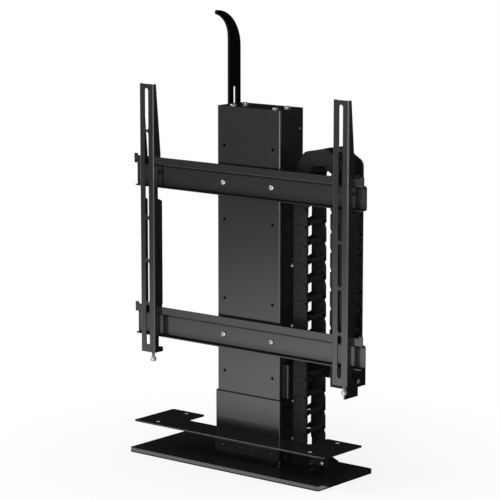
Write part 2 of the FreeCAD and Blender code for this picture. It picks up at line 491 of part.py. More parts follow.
def corner(s, z, up, lo, hi):
    """What rounding takes off a rail's end corner; s is the end, up the way into the rail."""
    end, inner = f"({s} * rail_w / 2)", f"({s} * (rail_w / 2 - rail_end_r))"
    level = f"({z} + ({up}) * rail_end_r)"
    past, below = f"({end} + {s})", f"({z} - ({up}))"
    x = (inner, past) if s > 0 else (past, inner)
    height = (below, level) if up > 0 else (level, below)
    return cut(box(x, (lo, hi), height), cyl(Y, "rail_end_r", inner, level, lo, hi))


def rail(name, z0):
    """Cross rail: web on the shell, top flange forward with an upright lip, bottom flange forward."""
    yw = "rail_y"
    yl = f"({yw} - rail_reach)"
    zt, zf = f"({z0} + rail_h)", f"({z0} + rail_h - lip_h)"
    half = "rail_w / 2"
    body = prism(X, [(yw, z0), (yw, zf), (f"{yl} + rail_t", zf), (f"{yl} + rail_t", zt), (yl, zt),
                     (yl, f"{zf} - rail_t"), (f"{yw} - rail_t", f"{zf} - rail_t"),
                     (f"{yw} - rail_t", f"{z0} + rail_t"), (yl, f"{z0} + rail_t"), (yl, z0)], f"-{half}", half)
    low, high, front_y = value(z0), value(f"{zf} - rail_t"), value(yl)
    rear_y, top_z = value(yw), value(zf)

    def bend(mid, way):
        along = abs(way.y) < 1e-6 and abs(way.z) < 1e-6
        return along and ((abs(mid.y - front_y) < NEAR and abs(mid.z - high) < NEAR)
                          or (abs(mid.y - rear_y) < NEAR and min(abs(mid.z - low), abs(mid.z - top_z)) < NEAR))

    body = rounded(body, "rail_r", bend)
    nibs = [box((f"{s} * ({half} - nib_w / 2) - nib_w / 2", f"{s} * ({half} - nib_w / 2) + nib_w / 2"),
                (yl, f"{yl} + rail_t"), (f"{zt} - 1", f"{zt} + nib_h")) for s in (-1, 1)]
    body = fuse(body, *nibs)
    tools = [cyl(Y, "bolt_hole_r", f"{s} * bolt_x", f"{z0} + rail_bolt_z", f"{yw} - 2 * rail_t",
                 f"{yw} + rail_t") for s in (-1, 1)]
    for s in (-1, 1):
        tools.append(corner(s, z0, 1, f"{yl} - 1", f"{yw} + 1"))
        tools.append(corner(s, zf, -1, f"{yw} - rail_t", f"{yw} + 1"))
    node(name, cut(body, group(tools)))


rail("upper_rail", "up_rail_z")
rail("lower_rail", "low_rail_z")
node("rail_bolts", group([button(Y, x, z, "rail_y - rail_t", -1,
                               grip="rail_t + shell_t") for x, z in rail_at]))


def arm(side, s):
    """Screen arm: slotted U channel hooked over both rail lips, with a lug and a lock screw at its foot."""
    xc = f"({s} * arm_x)"
    x0, x1 = f"({xc} - arm_w / 2)", f"({xc} + arm_w / 2)"
    yf, yn, yb = "arm_yf", "(arm_yf + arm_neck_d)", "(arm_yf + arm_d)"
    hook0 = "(rail_y - rail_reach + rail_t + hook_gap)"
    hook1 = f"({hook0} + hook_t)"
    up, low = "(up_rail_z + rail_h + hang_gap)", "(low_rail_z + rail_h + hang_gap)"
    side_outline = [
        (yf, "arm_z0"), (yb, "arm_z0"), (yb, "arm_z0 + lug_h - lug_slope"), (yn, "arm_z0 + lug_h"),
        (yn, low), (hook0, low), (hook0, f"{low} - hook_h"), (hook1, f"{low} - hook_h"),
        (yb, f"{low} + arm_rise"), (yb, "up_rail_z - neck_low - neck_slope"),
        (yn, "up_rail_z - neck_low"),
        (yn, up), (hook0, up), (hook0, f"{up} - hook_h"), (hook1, f"{up} - hook_h"),
        (hook1, f"{up} + hook_rise"), ("arm_yf + arm_top_d", "arm_z1"), (yf, "arm_z1"),
    ]
    cheeks = [prism(X, side_outline, x0, f"{x0} + arm_t"), prism(X, side_outline, f"{x1} - arm_t", x1)]
    face = box((x0, x1), (yf, f"{yf} + arm_t"), ("arm_z0", "arm_z1"))
    lug = box((f"{x0} + arm_t / 2", f"{x1} - arm_t / 2"), (f"{yf} + arm_t / 2", f"{yb} - arm_t / 2"),
              ("arm_z0", "arm_z0 + lug_t"))
    channel = fuse(face, lug, *cheeks)
    channel = rounded(channel, "arm_r", lambda m, w: upright(m, w) and abs(m.y - value("arm_yf")) < NEAR)
    tools = [cyl(Z, "lock_bore", xc, "lock_y", "arm_z0 - 1", "arm_z0 + lug_t + 1")]
    slots = int(value("(arm_z1 - arm_z0 - 2 * slot_edge + slot_pitch - slot_l) / slot_pitch"))
    for k in range(slots):
        top = f"(slot_top - {k} * slot_pitch - slot_w / 2)"
        end = f"(slot_top - {k} * slot_pitch - slot_l + slot_w / 2)"
        deep = (f"{yf} - 1", f"{yf} + arm_t + 1")
        tools.append(box((f"{xc} - slot_w / 2", f"{xc} + slot_w / 2"), deep, (end, top)))
        tools += [cyl(Y, "slot_w / 2", xc, z, *deep) for z in (end, top)]
    node(f"arm_{side}", cut(channel, fuse(*tools)))
    node(f"lock_screw_{side}", fuse(
        cyl(Z, "lock_r", xc, "lock_y", "lock_z0 + lock_head_h / 2", "low_rail_z - lock_gap"),
        cyl(Z, "lock_head_r", xc, "lock_y", "lock_z0", "lock_z0 + lock_head_h")))


arm("left", -1)
arm("right", 1)

# Lid lever: flat bar on the column's left side with a height slot, sweeping forward at its tip
outline = [("lever_y0", "lever_z0"), ("lever_y1", "lever_z0"), ("lever_y1", "lever_out_z")]
for a in (13, 26, 39, 52, 65, 77):
    outline.append((f"lever_y1 - lever_out_r * (1 - cos({a} deg))",
                    f"lever_out_z + lever_out_r * sin({a} deg)"))
for a in (83, 66, 50, 34, 17):
    outline.append((f"lever_y0 - lever_in_r * (1 - cos({a} deg))", f"lever_in_z + lever_in_r * sin({a} deg)"))
outline.append(("lever_y0", "lever_in_z"))
lx1 = "(-shell_w / 2 - slide_gap)"
lx0 = f"({lx1} - lever_t)"
ly = "lever_y"
lever = prism(X, outline, lx0, lx1)
slot = fuse(box((f"{lx0} - 1", f"{lx1} + 1"), (f"{ly} - lever_slot / 2", f"{ly} + lever_slot / 2"),
                ("lever_slot_z0 + lever_slot / 2", "lever_slot_z1 - lever_slot / 2")),
            cyl(X, "lever_slot / 2", ly, "lever_slot_z0 + lever_slot / 2", f"{lx0} - 1", f"{lx1} + 1"),
            cyl(X, "lever_slot / 2", ly, "lever_slot_z1 - lever_slot / 2", f"{lx0} - 1", f"{lx1} + 1"))
node("lid_lever", cut(lever, slot))
node("lever_bolts", group([
    fuse(cyl(X, "lever_washer_r", y, z, f"{lx0} - slide_gap - lever_washer_t", f"{lx0} - slide_gap"),
         cyl(X, "lever_head_r", y, z, f"{lx0} - lever_washer_t - lever_head_h", f"{lx0} - lever_washer_t"),
         cyl(X, "lever_bolt_r", y, z, f"{lx0} - lever_washer_t", f"-{hw} + shell_t - tip_gap"))
    for s, y, z in lever_at]))

# Chain link, pins at u = 0 and u = pitch: inner tongue plates, outer eye plates, bridges, crossbars and pins
cw = "(chain_w / 2)"
y_eye, y_tongue = f"({cw} - plate_t)", f"({cw} - 2 * plate_t - layer_gap)"
EAR_STEP = 22.5
ear_r = f"link_clear / cos({EAR_STEP / 2} deg)"
ear = [(f"{ear_r} * cos({i * EAR_STEP} deg)", f"{ear_r} * sin({i * EAR_STEP} deg)") for i in (-2, -1, 0, 1, 2)]
eye = [(ear[0][0], "-link_r"), *ear, (ear[0][0], "link_r")]
eye += [(f"pitch + link_r * cos({a} deg)", f"link_r * sin({a} deg)") for a in (90, 60, 30, 0, -30, -60, -90)]
tongue = [(f"pitch - ({u})", v) for u, v in eye]


def cheek(s):
    """One side of a link; s is -1 at the front and 1 at the back."""
    def span(a, b):
        return (f"{a}", f"{b}") if s > 0 else (f"-({b})", f"-({a})")
    pin_hole = cyl(Y, "pin_hole_r", "pitch", "0", *span(f"{y_eye} - 1", f"{cw} + 1"))
    plate_out = cut(prism(Y, eye, *span(y_eye, cw)), pin_hole)
    plate_in = prism(Y, tongue, *span(y_tongue, f"{y_tongue} + plate_t"))
    bridge = box(("pitch / 2 - bridge_u / 2", "pitch / 2 + bridge_u / 2"), span(y_tongue, cw),
                 ("-link_r", "link_r"))
    pin = cyl(Y, "pin_r", "0", "0", *span(f"{y_tongue} + 1", f"{cw} - pin_short"))
    return [plate_out, plate_in, bridge, pin]


bars = [box(("pitch / 2 - bar_u / 2", "pitch / 2 + bar_u / 2"), (f"-({y_tongue} + 1)", f"{y_tongue} + 1"), v)
        for v in (("link_r - bar_v", "link_r"), ("-link_r", "-link_r + bar_v"))]
master = fuse(*cheek(-1), *cheek(1), *bars)
doc.recompute()


def strand(name, placed):
    """Separate links set along the chain's path, each turned to its own direction."""
    f = doc.addObject("Part::Feature", "strand")
    shapes = []
    for x, z, direction in placed:
        s = master.Shape.copy()
        turn = FreeCAD.Rotation(FreeCAD.Vector(0, 1, 0), -direction)
        s.Placement = FreeCAD.Placement(FreeCAD.Vector(x, VALUE["chain_y"], z), turn).multiply(s.Placement)
        shapes.append(s)
    f.Shape = Part.makeCompound(shapes)
    node(name, f)


p, cxl, cxr = value("pitch"), value("chain_x"), value("chain_x_right")
cz, czr = value("chain_z"), value("chain_z_right")
strand("chain_fixed_strand", [(cxl, cz - p * (k + 1), 90) for k in range(LEFT_LINKS)])
bends, bend_x, bend_z = [], cxl, cz
for direction in (value("loop_up"), value("loop_over"), -value("loop_down")):
    bends.append((bend_x, bend_z, direction))
    bend_x += p * math.cos(math.radians(direction))
    bend_z += p * math.sin(math.radians(direction))
strand("chain_loop", bends)
strand("chain_moving_strand", [(cxr, czr - p * k, -90) for k in range(RIGHT_LINKS)])

# Fixed end: eye plates on a foot bolted to the base plate
foot_y = (f"chain_y - {cw} - chain_foot_edge", f"chain_y + {cw} + chain_foot_edge")
parts = [box(("chain_x - chain_foot_w / 2", "chain_x + chain_foot_w / 2"), foot_y,
             ("base_t", "base_t + chain_foot_t"))]
for lo, hi in ((f"chain_y - {cw}", f"chain_y - {y_eye}"), (f"chain_y + {y_eye}", f"chain_y + {cw}")):
    side = fuse(box(("chain_x - link_r", "chain_x + link_r"), (lo, hi), ("base_t + 1", "pin_low")),
                cyl(Y, "link_r", "chain_x", "pin_low", lo, hi))
    parts.append(cut(side, cyl(Y, "pin_hole_r", "chain_x", "pin_low", f"{lo} - 1", f"{hi} + 1")))
tools = [cyl(Z, "bolt_hole_r", a, b, "0", "base_t + chain_foot_t + 1")
         for a, b in chain_bolt_at]
node("chain_fixed_end", cut(fuse(*parts), group(tools)))
node("chain_foot_bolts", group([button(Z, a, b, "base_t + chain_foot_t", 1, "side_head_r", "side_head_h",
                                       grip="base_t + chain_foot_t - 1")
                                for a, b in chain_bolt_at]))

# Moving end: tongue plates under the last link, and the bracket that carries them from the shell
xr = "chain_x_right"
parts = []
for lo, hi in ((f"chain_y - {y_tongue} - plate_t", f"chain_y - {y_tongue}"),
               (f"chain_y + {y_tongue}", f"chain_y + {y_tongue} + plate_t")):
    parts.append(fuse(box((f"{xr} - link_r", f"{xr} + link_r"), (lo, hi),
                          ("pin_end - chain_end_drop", "pin_end")),
                      cyl(Y, "link_r", xr, "pin_end", lo, hi)))
for lo, hi in ((f"chain_y - {cw} + pin_short", f"chain_y - {y_tongue} - 1"),
               (f"chain_y + {y_tongue} + 1", f"chain_y + {cw} - pin_short")):
    parts.append(cyl(Y, "pin_r", xr, "pin_end", lo, hi))
parts.append(box((f"{xr} + link_r - end_t", "end_x - seat / 2"),
                 (f"chain_y - {y_tongue} - 1", f"chain_y + {y_tongue} + 1"),
                 ("pin_end - chain_end_drop", "pin_end - chain_end_drop + chain_end_foot")))
node("chain_moving_end", fuse(*parts))
side = box((hw + " + seat", hw + " + seat + bracket_t"), ("bracket_yf", "tie_y + tie_t"),
           ("bracket_z0", "bracket_z1"))
outer_x = value("shell_w / 2 + bracket_t / 2")
side = rounded(side, "rail_r", lambda m, w: upright(m, w) and m.x > outer_x and m.y < 0)
tie = box((hw + " + 1", "end_x + end_t"), ("tie_y", "tie_y + tie_t"), ("tie_z0", "tie_z1"))
tail_back, tail_foot = "tie_y + tie_t", "tie_z0 - bracket_top"
tail = prism(X, [(tail_back, tail_foot), (tail_back, "tie_z0 + tail_up"), ("tail_y", "tie_z0 + tail_up"),
                 ("tail_y", "tie_z0 + tail_step"), ("tail_yf", "tie_z0 + tail_step"),
                 ("tail_yf", "tie_z0 - tail_low"), ("tail_yb", "tie_z0 - tail_low"), ("tail_yb", tail_foot)],
             "end_x", "end_x + end_t")
tools = [cyl(X, "bolt_hole_r", y, z, f"{hw} - 1", f"{hw} + bracket_t + 2 * shell_t")
         for s, y, z in bracket_screw_at]
node("chain_bracket", cut(fuse(side, tie, tail), group(tools)))
node("bracket_screws", group([button(X, y, z, f"{hw} + seat + bracket_t", 1, "side_head_r", "side_head_h",
                                     grip="bracket_t + seat + shell_t - tip_gap")
                              for s, y, z in bracket_screw_at]
                             + [cyl(X, "side_head_r", "end_bolt_y", "tie_z0 + end_bolt_up", "end_x + end_t",
                                    "end_x + end_t + side_head_h")]))

doc.recompute()
os.makedirs("parts", exist_ok=True)
for name, obj in NODES.items():
    if "Invalid" in obj.State or "Error" in obj.State:
        raise RuntimeError(f"{name}: {obj.State}")
    if obj.Shape.isNull() or not obj.Shape.isValid() or not obj.Shape.Solids:
        raise RuntimeError(f"{name}: shape not valid")
for name, obj in NODES.items():
    obj.Shape.exportStep(f"parts/{name}.step")
print(len(NODES), "nodes")
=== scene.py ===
# %% [markdown]
# # A motorised TV lift, dressed in Blender
# The lift is a telescopic column on a floor plate. Its shell carries two cross rails, and two
# slotted arms hang on the rails and hold the screen. A cable chain beside the column leads the
# wiring up, and a curved lever on top pushes the cabinet's lid open.
# The packed CAD model already holds every solid in its place, so this lesson only adds what CAD
# leaves out: eased edges, real screw heads, the chain's moulded links, finishes, and the studio.

# %% The frame and its box
import json
import math

import bmesh
import bpy
from mathutils import Matrix, Vector

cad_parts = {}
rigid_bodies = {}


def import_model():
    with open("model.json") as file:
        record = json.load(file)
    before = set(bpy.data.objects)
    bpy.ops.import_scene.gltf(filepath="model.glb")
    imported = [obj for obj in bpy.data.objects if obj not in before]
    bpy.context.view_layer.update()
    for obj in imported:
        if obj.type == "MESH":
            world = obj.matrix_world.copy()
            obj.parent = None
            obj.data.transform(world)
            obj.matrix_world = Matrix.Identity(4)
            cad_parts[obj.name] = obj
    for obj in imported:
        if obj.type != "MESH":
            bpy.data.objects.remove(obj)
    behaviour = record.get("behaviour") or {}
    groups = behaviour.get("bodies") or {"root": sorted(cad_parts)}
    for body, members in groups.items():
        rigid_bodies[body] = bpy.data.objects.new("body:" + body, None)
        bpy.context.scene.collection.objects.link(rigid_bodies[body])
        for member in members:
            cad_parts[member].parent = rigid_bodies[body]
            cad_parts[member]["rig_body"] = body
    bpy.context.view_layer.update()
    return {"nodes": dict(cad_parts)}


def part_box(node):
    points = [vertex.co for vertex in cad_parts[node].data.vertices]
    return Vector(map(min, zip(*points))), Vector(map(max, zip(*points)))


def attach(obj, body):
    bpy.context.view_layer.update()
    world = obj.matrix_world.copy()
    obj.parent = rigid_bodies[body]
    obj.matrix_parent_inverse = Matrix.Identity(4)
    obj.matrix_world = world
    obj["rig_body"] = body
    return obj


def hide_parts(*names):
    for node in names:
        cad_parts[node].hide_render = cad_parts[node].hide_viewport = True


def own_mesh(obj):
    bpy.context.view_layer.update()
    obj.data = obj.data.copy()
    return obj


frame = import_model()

MM = 0.001

# %% [markdown]
# ## The camera
# The photograph was taken from the front right, a little above the middle of the column, with a
# long lens, so upright lines stay almost parallel. A camera could be fitted by hand in the
# viewport. Here its place is worked out from two angles, a distance and a target, because then
# each of them can be read and corrected on its own.

# %% Where the camera stands
AZIMUTH, ELEVATION = math.radians(39.09), math.radians(9.72)
DISTANCE, LENS, SENSOR, FAR_CLIP = 3987.5 * MM, 170.7, 36, 50
AIM_HEIGHT, AIM_LEFT = 361.39 * MM, 17.12 * MM

to_right = Vector((math.cos(AZIMUTH), math.sin(AZIMUTH), 0))
to_camera = Vector((math.sin(AZIMUTH) * math.cos(ELEVATION),
                    -math.cos(AZIMUTH) * math.cos(ELEVATION), math.sin(ELEVATION)))
aim = Vector((0, 0, AIM_HEIGHT)) - to_right * AIM_LEFT

lens = bpy.data.cameras.new("studio_camera")
lens.lens, lens.sensor_width, lens.clip_end = LENS, SENSOR, FAR_CLIP
camera = bpy.data.objects.new("studio_camera", lens)
camera.location = aim + to_camera * DISTANCE
camera.rotation_euler = to_camera.to_track_quat("Z", "Y").to_euler()
bpy.context.scene.collection.objects.link(camera)
bpy.context.scene.camera = camera
bpy.context.scene.view_settings.view_transform = "Standard"
print("camera at", [round(c, 3) for c in camera.location])

# %% [markdown]
# ## Shader maths as plain expressions
# A finish is a small sum: a base colour, a little dust, a little grain. In the node editor such a
# sum becomes a row of Math nodes. The class below wraps one socket, so that 1 - mask or
# 0.4 + grain * 0.1 can be typed as arithmetic and the Math nodes appear by themselves. All other
# nodes come from its one method, which sets a node's own settings first and its sockets after.

# %% A socket that can be added and multiplied
MIX_SHARE, MIX_FROM, MIX_TO, MIX_COLOUR = 0, 6, 7, 2  # the colour sockets of a Mix node


class Flow:
    """One output socket in a node tree; a Flow with no socket stands for the tree itself."""

    def __init__(self, tree, socket=None):
        self.tree, self.socket = tree, socket

    def node(self, kind, settings=None, sockets=None, out=0):
        made = self.tree.nodes.new(kind)
        for name, setting in (settings or {}).items():
            setattr(made, name, setting)
        for name, value in (sockets or {}).items():
            if isinstance(value, Flow):
                self.tree.links.new(value.socket, made.inputs[name])
            else:
                made.inputs[name].default_value = value
        return Flow(self.tree, made.outputs[out]) if made.outputs else None

    def math(self, operation, first, second):
        return self.node("ShaderNodeMath", {"operation": operation}, {0: first, 1: second})

    def __add__(self, other):
        return self.math("ADD", self, other)

    def __radd__(self, other):
        return self.math("ADD", other, self)

    def __sub__(self, other):
        return self.math("SUBTRACT", self, other)

    def __rsub__(self, other):
        return self.math("SUBTRACT", other, self)

    def __mul__(self, other):
        return self.math("MULTIPLY", self, other)

    def __rmul__(self, other):
        return self.math("MULTIPLY", other, self)

    def step(self, low, high):
        """0 below low, 1 above high, with an eased slope between."""
        return self.node("ShaderNodeMapRange", {"interpolation_type": "SMOOTHSTEP"},
                         {"Value": self, "From Min": low, "From Max": high})

    def tint(self, dark, light):
        """A colour between dark and light, by this value; dark may be a colour socket."""
        start = dark if isinstance(dark, Flow) else (*dark, 1)
        return self.node("ShaderNodeMix", {"data_type": "RGBA"},
                         {MIX_SHARE: self, MIX_FROM: start, MIX_TO: (*light, 1)}, out=MIX_COLOUR)


def start_tree(owner):
    """An empty node tree on a material or a world."""
    owner.use_nodes = True
    owner.node_tree.nodes.clear()
    return Flow(owner.node_tree)


print("operators:", [name for name in vars(Flow) if name.startswith("__r")])

# %% [markdown]
# ## The studio
# The product stands on white and is lit softly from the front left, while the room behind it on
# the right is dark. Satin black paint shows mostly what it mirrors, so the pale floor in front
# brightens the lower front faces, and the dark side leaves the right-hand faces almost black.
# The camera itself only sees white. A light tent could be modelled, but the Light Path node does
# the same work: it tells camera rays and mirrored rays apart.

# %% Where the studio is bright for a mirrored ray
BRIGHT_SIDE = Vector((-0.62, -0.78, 0))
ROOM_DARK, ROOM_LIGHT, DIM = 0.1, 1.0, 0.008
WHITE, AMBIENT, ROOM_GLOW = (1, 1, 1, 1), 0.36, 0.06
UP, OVERHEAD_LOW, OVERHEAD_HIGH, OVERHEAD_GLOW = Vector((0, 0, 1)), 0.4, 0.95, 0.3


def ray_kinds(tree):
    path = tree.node("ShaderNodeLightPath")
    outs = path.socket.node.outputs
    camera_ray, glossy_ray, clear_ray = (
        Flow(tree.tree, outs[name])
        for name in ("Is Camera Ray", "Is Glossy Ray", "Is Transmission Ray"))
    return camera_ray + clear_ray, glossy_ray


def along(tree, vector, way):
    """How far a direction, or a place on the floor, reaches the given way."""
    return tree.node("ShaderNodeVectorMath", {"operation": "DOT_PRODUCT"},
                     {0: vector, 1: way}, out="Value")


def size_of(tree, value):
    return tree.math("ABSOLUTE", value, 0)


def blend(tree, share, first, second):
    """Two shaders mixed: only the first at share 0, only the second at share 1."""
    return tree.node("ShaderNodeMixShader", None, {0: share, 1: first, 2: second})


world = bpy.data.worlds.new("studio_room")
bpy.context.scene.world = world
room = start_tree(world)
seen, mirrored = ray_kinds(room)
look_at = room.node("ShaderNodeTexCoord", out="Generated")
glow = along(room, look_at, BRIGHT_SIDE).step(ROOM_DARK, ROOM_LIGHT) * ROOM_GLOW
overhead = along(room, look_at, UP).step(OVERHEAD_LOW, OVERHEAD_HIGH) * OVERHEAD_GLOW


def backdrop(strength):
    return room.node("ShaderNodeBackground", None, {"Color": WHITE, "Strength": strength})


indirect = blend(room, mirrored, backdrop(AMBIENT), backdrop(DIM))
white_part = seen + mirrored * (glow + overhead)
whole_room = blend(room, white_part, indirect, backdrop(1))
room.node("ShaderNodeOutputWorld", None, {"Surface": whole_room})
print("room: white for the camera, ambient", AMBIENT)

# %% [markdown]
# The floor is one pale sheet. Close to the lift it is a plain matt surface that takes the shadow,
# and it turns into pure white farther out, so that no horizon shows. For mirrored rays it is
# shaded close to the plates, brightest a little in front of them, and fades with distance and to
# the left, as a lit table does. That gives the column its slow gradient and its dark foot.

# %% The floor
FLOOR_SIZE, FLOOR_DROP = 30, 0.3 * MM
SHADOW_NEAR, SHADOW_FAR, SHADOW_KEEP = 0.1, 0.6, 0.8
TABLE_NEAR, TABLE_FAR, TABLE_FADE, TABLE_LIGHT = 0.2, 2.9, 0.8, 2.97
LEFT_IN, LEFT_OUT, LEFT_FADE, MATT_WHITE = -0.3, 0.3, 0.36, (0.86, 0.86, 0.86, 1)
FLOOR_BACK, FLOOR_FRONT = -0.35, 0.15
AHEAD, SHADE_IN, SHADE_OUT = Vector((0, -1, 0)), 0.25, 0.345
SIDEWAYS, SIDE_NEAR, SIDE_FAR, SIDE_GLOW = Vector((-0.777, 0.63, 0)), 0.35, 1.3, 0.3

grid = bmesh.new()
bmesh.ops.create_grid(grid, x_segments=4, y_segments=4, size=FLOOR_SIZE / 2,
                      matrix=Matrix.Translation((0, 0, -FLOOR_DROP)))
floor_mesh = bpy.data.meshes.new("studio_floor")
grid.to_mesh(floor_mesh)
grid.free()
floor = bpy.data.objects.new("studio_floor", floor_mesh)
bpy.context.scene.collection.objects.link(floor)

pale = bpy.data.materials.new("pale_floor")
sheet = start_tree(pale)
seen, mirrored = ray_kinds(sheet)
place = sheet.node("ShaderNodeTexCoord", out="Object")
reach = sheet.node("ShaderNodeVectorMath", {"operation": "LENGTH"}, {0: place}, out="Value")
clear_of_shadow = SHADOW_KEEP + reach.step(SHADOW_NEAR, SHADOW_FAR) * (1 - SHADOW_KEEP)
lit_side = along(sheet, place, BRIGHT_SIDE).step(FLOOR_BACK, FLOOR_FRONT)
past_shade = along(sheet, place, AHEAD).step(SHADE_IN, SHADE_OUT)
aside = along(sheet, place, SIDEWAYS)
by_distance = 1 - reach.step(TABLE_NEAR, TABLE_FAR) * TABLE_FADE
by_side = 1 - aside.step(LEFT_IN, LEFT_OUT) * LEFT_FADE
front_glow = by_distance * by_side * lit_side * past_shade
side_glow = size_of(sheet, aside).step(SIDE_NEAR, SIDE_FAR) * SIDE_GLOW
matt = sheet.node("ShaderNodeBsdfDiffuse", None, {"Color": MATT_WHITE})


def glowing(strength):
    return sheet.node("ShaderNodeEmission", None, {"Color": WHITE, "Strength": strength})


table_glow = front_glow * (1 - SIDE_GLOW) + side_glow
table = blend(sheet, table_glow, glowing(DIM), glowing(TABLE_LIGHT))
under = blend(sheet, mirrored, matt, table)
paper = blend(sheet, seen * clear_of_shadow, under, glowing(1))
sheet.node("ShaderNodeOutputMaterial", None, {"Surface": paper})
floor_mesh.materials.append(pale)
print("floor:", FLOOR_SIZE, "m wide")

# %% [markdown]
# Five soft lamps do the rest. The large one on the left is the key light. Two narrow cards lie on
# the table in front of the base, where its front edge and the edge of the wings mirror them, and
# draw the light line along each edge. An upright strip near the camera draws the line along each
# bend, and a weak lamp high behind keeps the back readable. Area lamps are used because their
# size gives the soft edge of a real softbox.

# %% Lamps
LAMPS = {
    "key_softbox": ((-3.4, -0.9, 2.4), (0, 0, 0.35), (2.2, 1.6), 95),
    "base_card": ((-0.10, -0.100, 0.002), (-0.10, -0.100, 1), (0.7, 0.045), 0.18),
    "wing_card": ((-0.13, -0.2495, 0.002), (-0.13, -0.2495, 1), (0.42, 0.010), 0.05),
    "edge_strip": ((0.75, -1.25, 0.95), (0, 0, 0.8), (0.3, 1.4), 14),
    "rear_lamp": ((1.9, 2.8, 2.6), (0, 0, 0.3), (1.4, 1.0), 14),
}

for name, (stand, aims_at, size, watts) in LAMPS.items():
    lamp = bpy.data.lights.new(name, "AREA")
    lamp.shape, lamp.size, lamp.size_y, lamp.energy = "RECTANGLE", size[0], size[1], watts
    holder = bpy.data.objects.new(name, lamp)
    holder.location = stand
    holder.rotation_euler = (Vector(stand) - Vector(aims_at)).to_track_quat("Z", "Y").to_euler()
    holder.visible_camera = False
    bpy.context.scene.collection.objects.link(holder)
print("lamps:", list(LAMPS))

# %% [markdown]
# ## Finishes
# Every finish starts from the same three things: a place on the piece in metres, a fine grain and
# a slow cloud. The grain is the texture of powder paint or of moulded plastic, and the cloud is
# the faint unevenness of any real surface. They are made from noise in object space, so no piece
# needs an unwrapped mesh, and the grain keeps its real size on every part.

# %% Grain, cloud and a finish to hold them
def noise(tree, size, detail=2.0, stretch=(1, 1, 1)):
    """Noise whose patches are about `size` metres, drawn out along an axis by `stretch`."""
    here = tree.node("ShaderNodeTexCoord", out="Object")
    scaled = tree.node("ShaderNodeVectorMath", {"operation": "MULTIPLY"}, {0: here, 1: stretch})
    return tree.node("ShaderNodeTexNoise", None,
                     {"Vector": scaled, "Scale": 1 / size, "Detail": detail})


def grey(level):
    return (level, level, level)


def relief(tree, height, depth, strength):
    return tree.node("ShaderNodeBump", None,
                     {"Height": height, "Distance": depth, "Strength": strength})


def finish(name, tree_of_sockets):
    """A named material; the function gives the sockets of its shader."""
    made = bpy.data.materials.new(name)
    tree = start_tree(made)
    shader = tree.node("ShaderNodeBsdfPrincipled", None, tree_of_sockets(tree))
    tree.node("ShaderNodeOutputMaterial", None, {"Surface": shader})
    return made


FINISH = {}
print("finishes so far:", len(FINISH))

# %% [markdown]
# The sheet steel is powder coated in satin black. The paint melts into a skin with a faint orange
# peel, about a millimetre from crest to crest, and its gloss drifts a little from place to place.
# A flat grey would look like a model, so peel goes into the bump and drift into the roughness.
# The four holes in the wings are tapped after painting, so their walls are bare, and their light
# grey is also a painted highlight. The holes mirror each other, so the place is folded twice and
# one distance finds all four. The faces of the wing plate that look forward get a painted light,
# and are greyer than its top.
# The lid lever is dipped in a matt black that mirrors far less than the powder coat. Its cut edges
# get a painted light, so they come out greyer than its broad sides.

# %% Satin black powder coat
def powder_coat(tree):
    peel = noise(tree, 1.1 * MM, detail=1.0)
    drift = noise(tree, 60 * MM)
    return {
        "Base Color": drift.tint((0.008, 0.008, 0.0082), (0.011, 0.011, 0.0113)),
        "Roughness": 0.13 + drift * 0.03 + peel * 0.02,
        "Normal": relief(tree, peel, 0.02 * MM, 0.3),
        "Specular IOR Level": 0.7,
    }


HOLE_ACROSS, HOLE_AHEAD, HOLE_WALL, HOLE_RIM = 165 * MM, 37.5 * MM, 3.35 * MM, 3.6 * MM
EAST, NORTH = Vector((1, 0, 0)), Vector((0, 1, 0))
# Painted light: a lighter grey for the faces that look forward, and for the hole walls a pale grey
# that is bare metal with a painted highlight.
BARE_AND_HIGHLIGHT, FRONT_LIGHT, FACING_FROM, FACING_FULL = grey(0.5), grey(0.027), 0.6, 0.9


def tapped_coat(tree):
    made = powder_coat(tree)
    here = tree.node("ShaderNodeTexCoord", out="Object")
    across = size_of(tree, along(tree, here, EAST)) - HOLE_ACROSS
    ahead = size_of(tree, along(tree, here, NORTH) + HOLE_AHEAD) - HOLE_AHEAD
    bare_and_highlight = 1 - (across * across + ahead * ahead).step(HOLE_WALL ** 2, HOLE_RIM ** 2)
    # Painted light on the faces that look forward, and the bare hole walls with their painted
    # highlight.
    facing = tree.node("ShaderNodeTexCoord", out="Normal")
    lit_front = along(tree, facing, AHEAD).step(FACING_FROM, FACING_FULL)
    made["Base Color"] = bare_and_highlight.tint(lit_front.tint(made["Base Color"], FRONT_LIGHT), BARE_AND_HIGHLIGHT)
    return made


CUT_FROM, CUT_FULL, RUBBED = 0.4, 0.8, 0.05


def lever_black(tree):
    grain = noise(tree, 0.6 * MM, detail=2.0)
    rub = noise(tree, 40 * MM, stretch=(1, 1, 0.3))
    facing = tree.node("ShaderNodeTexCoord", out="Normal")
    # Painted light: the cut edges get a greyer base colour than the broad sides; the slow rub noise
    # is the dip's own unevenness.
    lit_cut_edge = 1 - size_of(tree, along(tree, facing, EAST)).step(CUT_FROM, CUT_FULL)
    edge_light_and_rub = lit_cut_edge * (1 - RUBBED) + rub * RUBBED
    return {
        "Base Color": edge_light_and_rub.tint(grey(0.001), grey(0.022)),
        "Roughness": 0.46 + rub * 0.08 + grain * 0.06,
        "Normal": relief(tree, grain, 0.03 * MM, 0.3),
        "Specular IOR Level": 0.015,
    }


FINISH["black_coat"] = finish("satin_black_powder_coat", powder_coat)
FINISH["tapped"] = finish("tapped_powder_coat", tapped_coat)
FINISH["lever"] = finish("matt_black_dip", lever_black)
print("made", [made.name for made in FINISH.values()])
